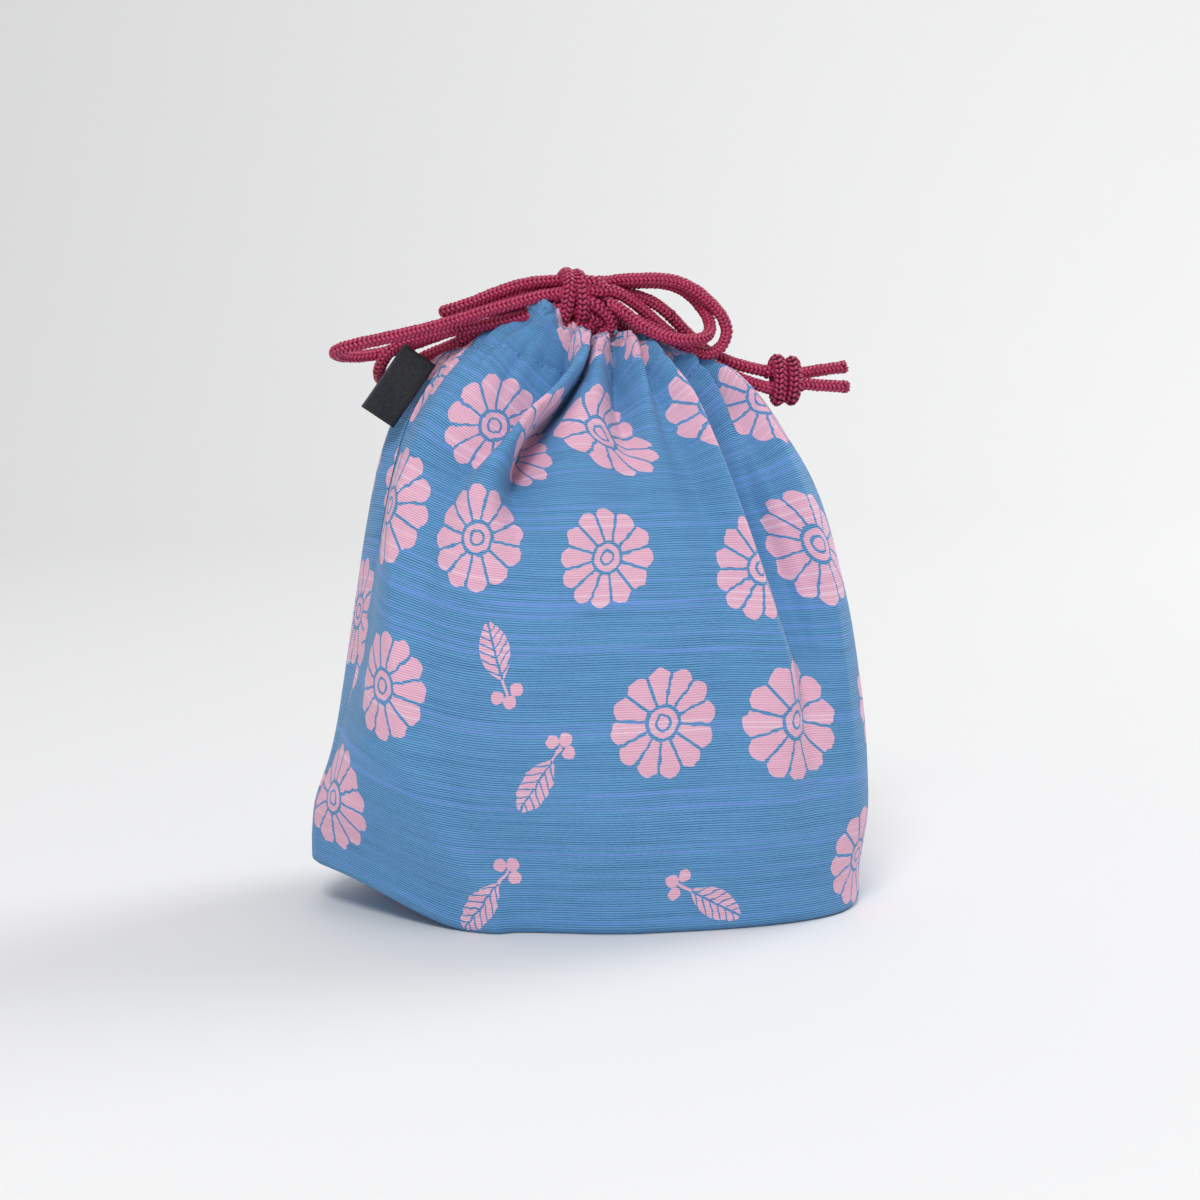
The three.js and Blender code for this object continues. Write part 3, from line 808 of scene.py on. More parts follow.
@dataclass
class BagForm:
    """The shape that the cloth takes: a smooth slumped form with gathers and folds laid over it.

    A level counts the rows of the table from the foot to the rim, in fractions between rows. An angle goes
    round a level: 0 at the right seam, -pi/2 at the front, +-pi at the left seam.
    """

    # height and reach at the left seam, the same at the right seam, reach to front and back, corner powers
    levels: Sequence[Sequence[float]] = (
        (12.0, -103.5, 12.0, 98.5, 72.0, 71.0, 1.55, 3.2),
        (26.0, -102.5, 26.0, 99.2, 72.6, 72.0, 1.7, 3.3),
        (40.0, -99.5, 40.0, 99.0, 72.8, 72.0, 2.0, 3.4),
        (65.0, -92.0, 65.0, 96.5, 71.8, 71.0, 2.7, 3.4),
        (90.0, -85.5, 89.0, 93.0, 68.5, 68.0, 3.2, 3.3),
        (114.0, -80.5, 112.0, 90.4, 63.0, 62.5, 3.2, 3.1),
        (138.0, -76.5, 134.0, 87.2, 55.5, 55.0, 3.0, 2.9),
        (158.0, -72.5, 152.0, 82.6, 47.0, 47.0, 2.8, 2.7),
        (176.0, -67.0, 166.0, 76.5, 38.5, 39.0, 2.5, 2.5),
        (190.0, -59.5, 179.0, 68.5, 31.0, 31.5, 2.3, 2.3),
        (200.0, -51.5, 188.0, 60.0, 26.0, 26.0, 2.1, 2.1),
        (207.0, -41.0, 194.0, 50.0, 23.0, 23.0, 2.0, 2.0),
        (211.5, -30.0, 198.0, 42.0, 21.0, 21.0, 2.0, 2.0),
        (215.0, -21.0, 201.0, 36.5, 19.5, 19.5, 2.0, 2.0),
    )
    foot_roll: float = 3.0
    foot_height: float = 12.0
    tip_lift: float = 16.0
    tip_reach: float = 50.0
    lift_fade: float = 60.0
    left_end: float = 103.5
    belly_skew: float = 0.12
    rim_radius: float = 2.4
    casing_levels: float = 2.3
    half_count: int = 250
    wall_rows: int = 236
    cloth_half: float = 302.0
    # Back ridges and hollows at their strongest, and how far each hangs over the next
    back_strength: Sequence[float] = (6.0, -8.0, 6.6, -10.0, 7.6, -6.0, 5.6, -9.6, 8.2, -8.4, 5.6)
    back_lean: Sequence[float] = (0, -0.8, 2.6, -1.6, 0, 0, 1.6, -1.6, 3.0, -1.2, 0)

    # Dents pressed into the front: level, angle, depth, spread over levels, spread over angles
    dents: Sequence[Sequence[float]] = (
        (7.35, -1.97, -3.4, 0.5, 0.075),
        (8.15, -2.05, 2.6, 0.35, 0.07),
        (12.55, -2.50, -3.0, 0.6, 0.14),
        (12.1, -2.10, 1.6, 0.6, 0.10),
    )

    def __post_init__(self) -> None:
        """Turns the tables into arrays, one row for each fold."""
        self.table = np.asarray(self.levels, float)
        self.top = len(self.table) - 1
        names = ("angles", "heights", "leans", "roundness")
        front = {name: np.asarray([getattr(fold, name) for fold in FRONT_FOLDS], float) for name in names}
        # The back's folds are spread over its angles, uneven but fixed, and grow towards the mouth
        number = np.arange(11)
        rise = np.linspace(0, 1, self.top + 1)
        spread = np.linspace(0.42, 2.72, 11) + 0.06 * np.sin(number * 2.3 + 0.7)
        grow = smoothstep(rise, 0.18, 0.62) * (1 - 0.55 * smoothstep(rise, 0.72, 1.0))
        back = {
            "angles": spread[:, None] + 0.07 * np.sin(3 * rise[None, :] + number[:, None] * 1.7),
            "heights": np.outer(self.back_strength, grow),
            "leans": np.outer(self.back_lean, smoothstep(rise, 0.35, 0.7)),
            "roundness": np.where(number % 2, 1.3, 2.0),
        }
        self.folds = {Side.FRONT: front, Side.BACK: back}

    @staticmethod
    def _through(rows: Array, at: float) -> Array:
        """Reads a table of rows at a fractional row number, on a smooth line through them."""
        last = len(rows) - 1
        at = min(max(float(at), 0.0), float(last))
        i = min(int(at), last - 1)
        t = at - i
        p1, p2 = rows[i], rows[i + 1]
        p0, p3 = rows[max(i - 1, 0)], rows[min(i + 2, last)]
        m1, m2, d = (p2 - p0) / 2, (p3 - p1) / 2, p2 - p1
        return p1 + t * m1 + t * t * (3 * d - 2 * m1 - m2) + t**3 * (m1 + m2 - 2 * d)

    def _outline(self, level: float, angle: Array) -> Array:
        """Gives the smooth outline of one level."""
        z_left, left, z_right, right, front, back, power_left, power_right = self._through(self.table, level)
        c, s = np.cos(angle), np.sin(angle)
        power = 2 / np.where(c < 0, power_left, power_right)
        x = np.sign(c) * np.where(c < 0, -left, right) * np.abs(c) ** power
        y = np.sign(s) * np.where(s < 0, front, back) * np.abs(s) ** power
        y = y * (1 + self.belly_skew * x / self.left_end)
        share = (x - left) / (right - left)
        return np.stack([x, y, z_left + (z_right - z_left) * share], axis=-1)

    def _lift(self, points: Array) -> Array:
        """Curls the left end of the base up off the floor."""
        x, z = points[..., 0], points[..., 2]
        rise = smoothstep(-x - self.left_end + self.tip_reach, 0, self.tip_reach)
        lifted = points.copy()
        lifted[..., 2] = z + self.tip_lift * rise * (1 - smoothstep(z, 0, self.lift_fade))
        return lifted

    def _fold_profile(self, side: Side, level: float, run: Array, dense: Array) -> tuple[Array, Array]:
        """Works out how far the folds stand over the smooth outline, and how far they slide along it.

        Args:
            side: front or back.
            level: the level.
            run: distance along the outline for each sample.
            dense: the samples' angles.

        Returns:
            The height of the cloth over the outline at each sample, and its slide.
        """
        folds = self.folds[side]
        names = ("angles", "heights", "leans")
        angles, heights, leans = (self._through(folds[name].T, level) for name in names)
        knots = np.concatenate([[0], np.interp(angles, dense, run), [run[-1]]])
        seam_left = -1.2 * float(smoothstep(level, 4, 9))
        seam_right = -2.6 * float(smoothstep(level, 3, 7)) * (1 - 0.6 * float(smoothstep(level, 9, 12)))
        first, last = (seam_left, seam_right) if side is Side.FRONT else (seam_right, seam_left)
        roundness = np.concatenate([[1.6], folds["roundness"], [1.6]])
        k = np.clip(np.searchsorted(knots, run, side="right") - 1, 0, len(knots) - 2)
        t = np.clip((run - knots[k]) / (knots[k + 1] - knots[k]), 1e-6, 1 - 1e-6)
        a, b = t ** roundness[k], (1 - t) ** roundness[k + 1]
        blend = a / (a + b)
        rows = (np.concatenate([[first], heights, [last]]), np.concatenate([[0.0], leans, [0.0]]))
        height, slide = (row[k] + (row[k + 1] - row[k]) * blend for row in rows)
        return height, slide

    @staticmethod
    def _pleats(turns: Array) -> Array:
        """Gives pleats with round tops and sharp creases between them, one for each turn."""
        return 2 * np.abs(np.sin(np.pi * turns)) ** 0.7 - 1

    def _gathers(self, side: Side, level: float, share: Array) -> Array:
        """Gives the fine gathers under the casing, which die out down the wall."""
        phase = 0.0 if side is Side.FRONT else 2.1
        strong = float(smoothstep(level, 7.8, 11.8))
        soft = float(smoothstep(level, 5.5, 10.0))
        slide = 1.6 * np.sin(2 * np.pi * share * 3 + phase)
        slide = slide + 0.9 * np.sin(2 * np.pi * share * 5 + 1.3 * phase)
        fine = self._pleats(share * 19 + (slide + 0.22 * level) / (2 * np.pi))
        finer = self._pleats(share * 33 + (phase - 1.4 * slide) / (2 * np.pi))
        patchy = 0.55 + 0.45 * np.sin(2 * np.pi * share * 2.2 + 0.8 + phase)
        right = smoothstep(share if side is Side.FRONT else 1 - share, 0.6, 0.8)
        return (1.05 * fine + 0.5 * finer) * strong + 0.7 * fine * patchy * soft * (0.6 + 0.7 * right)

    @staticmethod
    def _undulation(side: Side, level: float, share: Array) -> Array:
        """Gives the slow unevenness of soft cloth that holds no shape."""
        phase = 0.0 if side is Side.FRONT else 1.9
        calm = 1 - 0.6 * float(smoothstep(level, 8, 12))
        wave = 0.9 * np.sin(5.1 * share * np.pi + 0.55 * level + phase)
        wave += 0.55 * np.sin(11.3 * share * np.pi - 0.9 * level + 2.4 * phase)
        wave += 0.3 * np.sin(19.7 * share * np.pi + 1.7 * level)
        return wave * calm * float(smoothstep(level, 0.0, 1.5)) * 0.8

    def _pressed(self, level: float, angle: Array) -> Array:
        """Gives the dents and small swellings that lie at one place each."""
        return sum(
            depth * bell(level, at, high) * bell(angle, turn, wide)
            for at, turn, depth, high, wide in self.dents
        )

    def _casing(self, level: float) -> float:
        """Gives the roll of the casing over its cords and the groove of its stitches."""
        start = self.top - self.casing_levels
        roll = 1.7 * math.sin(math.pi * min(1.0, max(0.0, (level - start) / self.casing_levels))) ** 0.8
        return roll - 0.9 * bell(level, start, 0.16)

    def _rim_shift(self, points: Array, level: float) -> Array:
        """Gives the shift of the cloth near the rim, up from its level and out of it."""
        x, y = points[:, 0], points[:, 1]
        hump = 5.8 * bell(x, -16.4, 6.4) * smoothstep(-y, 3, 8)
        dip = -4.2 * bell(x, -3.0, 9.0) * smoothstep(-y, -4, 8)
        shift = -self.inward(points) * (1.05 * hump)[:, None]
        shift[:, 1] -= 0.4 * hump
        shift[:, 2] = hump + dip + 1.6 * smoothstep(y, 0, 8)
        return float(smoothstep(level, 10.4, 13.0)) * shift

    def _shaped(self, side: Side, level: float) -> tuple[Array, Array]:
        """Shapes one level of a half with all its folds, not yet curled up at the left end.

        Args:
            side: front, from left seam to right, or back, from right seam to left.
            level: the level.

        Returns:
            Closely spaced points and the directions in which the cloth faces there.
        """
        in_front = side is Side.FRONT
        dense = np.linspace(-np.pi, 0, 1441) if in_front else np.linspace(0, np.pi, 1441)
        outline = self._outline(level, dense)
        run = run_along(outline)
        share = run / run[-1]
        edge = np.minimum(run, run[-1] - run)
        height, slide = self._fold_profile(side, level, run, dense)
        height = height + self._gathers(side, level, share) + self._undulation(side, level, share)
        height = height + self._casing(level) + (self._pressed(level, dense) if in_front else 0.0)
        height = height - 0.9 * bell(edge, 0.0, 2.2)
        tangent = unit(np.gradient(outline, axis=0))
        normal = unit(np.stack([tangent[:, 1], -tangent[:, 0], np.zeros(len(tangent))], axis=1))
        tilt = 1.05 * float(smoothstep(level, 4.0, 12.0)) * (1 - 0.75 * float(smoothstep(level, 12.0, 13.0)))
        normal = normal * math.cos(tilt) + np.array([0, 0, math.sin(tilt)])
        fade = np.minimum(1, edge / 3.0 + 0.25)[:, None]
        points = outline + (normal * height[:, None] + tangent * slide[:, None]) * fade
        points[[0, -1], 1] = -0.05 if in_front else 0.05
        return points + self._rim_shift(points, level), normal

    def _finished(self, points: Array) -> Array:
        """Curls a row up at the left end and spaces it evenly along the cloth."""
        return evenly(self._lift(points), self.half_count + 1)

    def row(self, side: Side, level: float) -> Array:
        """Shapes one row of a half, from its first seam to its second.

        Args:
            side: front or back.
            level: the level.

        Returns:
            The row's points, evenly spaced along the cloth.
        """
        return self._finished(self._shaped(side, level)[0])

    def foot_rows(self, side: Side) -> list[Array]:
        """Shapes the base of one half, from its middle out to the start of the wall."""
        edge, normal = self._shaped(side, 0.0)
        inner = (edge - normal * self.foot_roll) * np.array([1.0, 1.0, 0.0])
        rows = [inner * np.array([1.0, share, 0.0]) for share in (0.0, 0.2, 0.38, 0.55, 0.7, 0.82, 0.92)]
        for turn in np.linspace(0, 1, 9)[:-1] * np.pi / 2:
            rolled = edge - normal * self.foot_roll * (1 - math.sin(turn))
            rolled[:, 2] = self.foot_roll * (1 - math.cos(turn))
            rows.append(rolled)
        for share in (0.0, 0.5):
            upright = edge.copy()
            upright[:, 2] = self.foot_roll + (self.foot_height - self.foot_roll) * share
            rows.append(upright)
        return [self._finished(points) for points in rows]

    def rows(self, side: Side) -> list[Array]:
        """Shapes all rows of one half, from the base's middle up to the rim and over it to the inside."""
        wall = [self.row(side, float(level)) for level in np.linspace(0, self.top, self.wall_rows)]
        inward = self.inward(wall[-1])
        rim = []
        for turn in np.linspace(0, 1, 9)[1:] * np.pi:
            over = inward * self.rim_radius * (1 - math.cos(turn))
            rim.append(wall[-1] + over + np.array([0, 0, self.rim_radius * math.sin(turn)]))
        return [*self.foot_rows(side), *wall, *rim]

    @staticmethod
    def inward(row: Array) -> Array:
        """Gives the level direction into the mouth at each point of a row."""
        towards = np.array([8.0, 0.0]) - row[:, :2]
        towards[:, 0] *= 0.45
        towards /= np.linalg.norm(towards, axis=1, keepdims=True) + 1e-9
        return np.column_stack([towards, np.zeros(len(row))])


@dataclass
class Stitches:
    """A row of machine stitches: short bits of thread that lie along a line or across it."""

    long: float = 2.1
    thick: float = 0.42

    def __post_init__(self) -> None:
        """Makes the thread's finish and the two trees."""
        self.material = Thread("sewing_thread").build()
        self.trees = {across: self._tree(across) for across in (False, True)}

    def _tree(self, across: bool) -> NodeTree:
        """Builds the tree that sets bits of thread along a line."""
        t = NodeTree("stitches_across" if across else "stitches_along")
        step = t.size("Step", 2.6 * MM)
        seed = t.size("Seed", 1, "NodeSocketInt")
        line = t.samples(step)
        way = t.out("GeometryNodeInputTangent")
        if across:
            way = t.out("ShaderNodeVectorMath", {0: way, 1: (0.0, 1.0, 0.0)}, operation="CROSS_PRODUCT")
        bit = t.out("GeometryNodeMeshUVSphere", {"Segments": 6, "Rings": 5, "Radius": 0.5 * MM})
        bit = t.out("GeometryNodeTransform", {"Geometry": bit, "Scale": (self.long, self.thick, self.thick)})
        bits = t.scatter(line, bit, t.towards("X", way), seed, (0.88, 0.9, 0.9), (1.08, 1.1, 1.1))
        t.finish(bits, self.material)
        return t

    def sew(self, name: str, points: Array, step: float, across: bool = False) -> Piece:
        """Sews along points.

        Args:
            name: the piece's name.
            points: the line, in millimetres.
            step: spacing of the stitches.
            across: whether each bit of thread lies across the line.

        Returns:
            The thread as one piece.
        """
        return self.trees[across].bake(name, points, {"Step": step * MM, "Seed": 5})


@dataclass
class BagBody:
    """Front and back cloth, each from the middle of the base to the rolled rim, and the hem inside."""

    form: BagForm = field(default_factory=BagForm)
    # The hem's section: how far it lies inside the rolled rim, and how far below it
    hem_profile: Route = ((0, 0, 0), (1.6, -1.4, 0), (3.5, -4, 0), (5, -8, 0), (4.5, -12, 0), (1, -17, 0))
    hem_rows: int = 16
    foot_row: int = 15
    stitches: Stitches = field(default_factory=Stitches)

    def build(self) -> list[Piece]:
        """Builds both halves, their hems and their stitches, hides the parts that they replace and hangs them
        on the bag's body.

        Returns:
            The pieces.
        """
        pieces = []
        for side, shift in ((Side.FRONT, (9.0, 4.0)), (Side.BACK, (171.0, 40.0))):
            cloth = PrintedCotton(f"printed_cotton_{side.value}", shift=shift).build()
            rows = self.form.rows(side)
            flat = self._flat(rows)
            faces = grid_faces(len(rows), len(rows[0]))
            panel = add_mesh(f"{side.value}_cloth", rows, faces, cloth, flat)
            settle(panel, Body.BAG, f"{side.value}_panel")
            hem = self._hem(side, rows[-1], flat[-1], cloth)
            settle(hem, Body.BAG, f"{side.value}_casing")
            sewn = self._sew(side)
            pieces += [panel, hem, *sewn]
        return pieces

    def _flat(self, rows: Sequence[Array]) -> Array:
        """Lays the rows flat: place along the half, and length of cloth up from the base's edge."""
        step = np.linalg.norm(np.diff(rows, axis=0), axis=2)
        kernel = np.ones(41) / 41
        soft = np.array([np.convolve(np.pad(r, 20, mode="edge"), kernel, mode="valid") for r in step])
        up = np.vstack([np.zeros(soft.shape[1]), np.cumsum(soft, axis=0)])
        up = up - up[self.foot_row][None, :]
        across = np.linspace(0, self.form.cloth_half, up.shape[1])
        return np.stack([np.broadcast_to(across, up.shape), up], axis=-1)

    def _hem(self, side: Side, rim: Array, flat: Array, cloth: bpy.types.Material) -> Piece:
        """Makes the hem that hangs inside the mouth under the rolled rim, inside the drawcords."""
        inward = self.form.inward(rim)
        profile = smooth_line(self.hem_profile, 17.5 / self.hem_rows)
        ripple = np.sin(np.linspace(0, 34 * np.pi, len(rim)))
        rows, places = [], []
        for (reach, drop, _), length in zip(profile, run_along(profile)):
            row = rim + inward * (reach + 0.5 * ripple * (0.3 + length / 20.0))[:, None]
            row[:, 2] += drop
            rows.append(row)
            places.append(flat + np.array([0, length]))
        return add_mesh(f"{side.value}_hem", rows, grid_faces(len(rows), len(rim)), cloth, places)

    def _sew(self, side: Side) -> list[Piece]:
        """Sews the casing's stitches along its groove, and the front's bar tack."""
        groove = self.form.row(side, self.form.top - self.form.casing_levels)
        out = -self.form.inward(groove) * 0.25
        sewn = [self.stitches.sew(f"{side.value}_stitches", groove[3:-3] + out[3:-3], 2.6)]
        if side is Side.FRONT:
            low, high = (self.form.row(side, level) for level in (11.5, 13.0))
            at = int(np.argmin(np.abs(low[:, 0] - 33.0)))
            bar = np.linspace(low[at], high[at], 9) + np.array([0.0, -0.9, 0.3])
            sewn.append(self.stitches.sew("front_bar_tack", bar, 0.75, across=True))
        for piece in sewn:
            settle(piece, Body.BAG)
        return sewn


# The cords


@dataclass
class Braid:
    """Round braided cord: slanted lobes of yarn in columns whose slant alternates, over a core that the
    finish paints dark as shade.
    """

    diameter: float = 4.4
    pitch: float = 1.6
    columns: int = 8
    core_share: float = 0.74
    lobe: Colour = (2.7, 1.55, 1.5)
    slant: float = 0.78
    line_step: float = 0.9

    def __post_init__(self) -> None:
        """Builds the tree once for all cords."""
        self.material = BraidedCord("braided_cord").build()
        self.tree = self._tree()

    def _tree(self) -> NodeTree:
        """Builds the tree that sets rings of lobes along a line."""
        t = NodeTree("braid")
        pitch = t.size("Pitch", self.pitch * MM)
        radius = t.size("Core Radius", self.core_share * self.diameter / 2 * MM)
        columns = t.size("Columns", self.columns, "NodeSocketInt")
        slant = t.size("Slant", self.slant)
        seed = t.size("Seed", 1, "NodeSocketInt")
        vector = {"data_type": "FLOAT_VECTOR"}
        store = {"Geometry": t.samples(pitch), "Name": "run", "Value": t.out("GeometryNodeInputTangent")}
        line = t.out("GeometryNodeStoreNamedAttribute", store, domain="POINT", **vector)
        ring = t.out("GeometryNodeCurvePrimitiveCircle", {"Resolution": columns, "Radius": radius})
        core = t.out("GeometryNodeCurveToMesh", {"Curve": line, "Profile Curve": ring, "Fill Caps": True})
        run = t.out("GeometryNodeInputNamedAttribute", {"Name": "run"}, **vector)
        # Columns lean one way and the other by turns, and every second pair starts half a pitch late
        column = Value(t, t.out("GeometryNodeInputIndex")) % columns
        turn = ((column % 2.0) * 2.0 - 1.0) * slant
        late = ((column * 0.5).apply("FLOOR") % 2.0) * pitch * -0.5
        shift = t.out("ShaderNodeVectorMath", {0: run, "Scale": late}, operation="SCALE")
        places = t.out("GeometryNodeSetPosition", {"Geometry": core, "Offset": shift})
        ball = t.out("GeometryNodeMeshUVSphere", {"Segments": 8, "Rings": 5, "Radius": 1.0})
        # Each lobe keeps its height as crown, from which the finish paints shade low down and a highlight on
        # top
        height = t.out("ShaderNodeSeparateXYZ", {0: t.out("GeometryNodeInputPosition")}, 2)
        store = {"Geometry": ball, "Name": "crown", "Value": height}
        ball = t.out("GeometryNodeStoreNamedAttribute", store, data_type="FLOAT", domain="POINT")
        half = tuple(size / 2 * MM for size in self.lobe)
        ball = t.out("GeometryNodeTransform", {"Geometry": ball, "Scale": half})
        upright = t.towards("Z", t.out("GeometryNodeInputNormal"))
        along = t.towards("X", run, Rotation=upright)
        local = t.out("FunctionNodeAxisAngleToRotation", {"Axis": (0.0, 0.0, 1.0), "Angle": turn})
        rotation = t.out("FunctionNodeRotateRotation", {0: along, 1: local}, rotation_space="LOCAL")
        lobes = t.scatter(places, ball, rotation, seed, (0.93, 0.92, 0.86), (1.07, 1.08, 1.12))
        joined = t.node("GeometryNodeJoinGeometry", {0: lobes})
        t.tree.links.new(core, joined.inputs[0])
        t.finish(joined.outputs[0], self.material)
        return t

    def lay(self, name: str, points: Route, seed: int = 1, fat: float = 1.0) -> tuple[Piece, Array]:
        """Lays one cord along points.

        Args:
            name: the piece's name.
            points: the points of its route.
            seed: seed of the small unevenness of its yarns.
            fat: how much thicker it is than usual, as it is where it is tied.

        Returns:
            The piece and the even line that it follows.
        """
        line = smooth_line(points, self.line_step)
        core = fat * self.core_share * self.diameter / 2 * MM
        piece = self.tree.bake(name, line, {"Seed": seed, "Core Radius": core})
        LOG.info("%s: %.0f mm of cord, %d faces", name, line_length(line), len(piece.data.polygons))
        return piece, line


@dataclass
class FrayedEnd:
    """The cut end of a cord: its yarns stand apart a little, each a short tapered tuft."""

    braid: Braid
    yarns: int = 34
    yarn_long: float = 1.5
    yarn_radius: float = 0.4

    def build(self, name: str, end: Array, direction: Array, seed: int) -> Piece:
        """Builds the tuft.

        Args:
            name: the piece's name.
            end: the middle of the cut.
            direction: the way that the cord leaves.
            seed: seed of the yarns' places.

        Returns:
            The piece.
        """
        chance = np.random.default_rng(seed)
        forward = unit(direction)
        side = unit(np.cross(forward, (0.0, 0.3, 1.0)))
        up = np.cross(side, forward)
        points, faces = [], []
        for k in range(self.yarns):
            reach = math.sqrt((k + 0.5) / self.yarns) * self.braid.diameter * 0.46
            out = math.cos(k * 2.4) * side + math.sin(k * 2.4) * up
            lean = unit(forward + out * (0.10 + 0.22 * chance.random()) * reach / 2)
            start = end + out * reach * 0.92 - forward * 1.2
            long = 1.2 + self.yarn_long * (0.35 + 0.65 * chance.random())
            self._add_tuft(points, faces, start, lean, long)
        return add_mesh(name, points, faces, self.braid.material, crown=0.7)

    def _add_tuft(self, points: list, faces: list, start: Array, lean: Array, long: float) -> None:
        """Adds one tapered yarn of five sides."""
        side = unit(np.cross(lean, (0.3, 1.0, 0.2)))
        up = np.cross(side, lean)
        base = len(points)
        for share, size in ((0.0, 0.9), (0.6, 1.0), (0.92, 0.7)):
            for turn in (2 * math.pi * k / 5 for k in range(5)):
                spread = (math.cos(turn) * side + math.sin(turn) * up) * self.yarn_radius * size
                points.append(start + lean * long * share + spread)
        points += [start + lean * long, start]
        for k in range(5):
            n = (k + 1) % 5
            for low in (base, base + 5):
                faces.append([low + k, low + k + 5, low + n + 5, low + n])
            faces.append([base + 10 + k, base + 15, base + 10 + n])
            faces.append([base + k, base + n, base + 16])


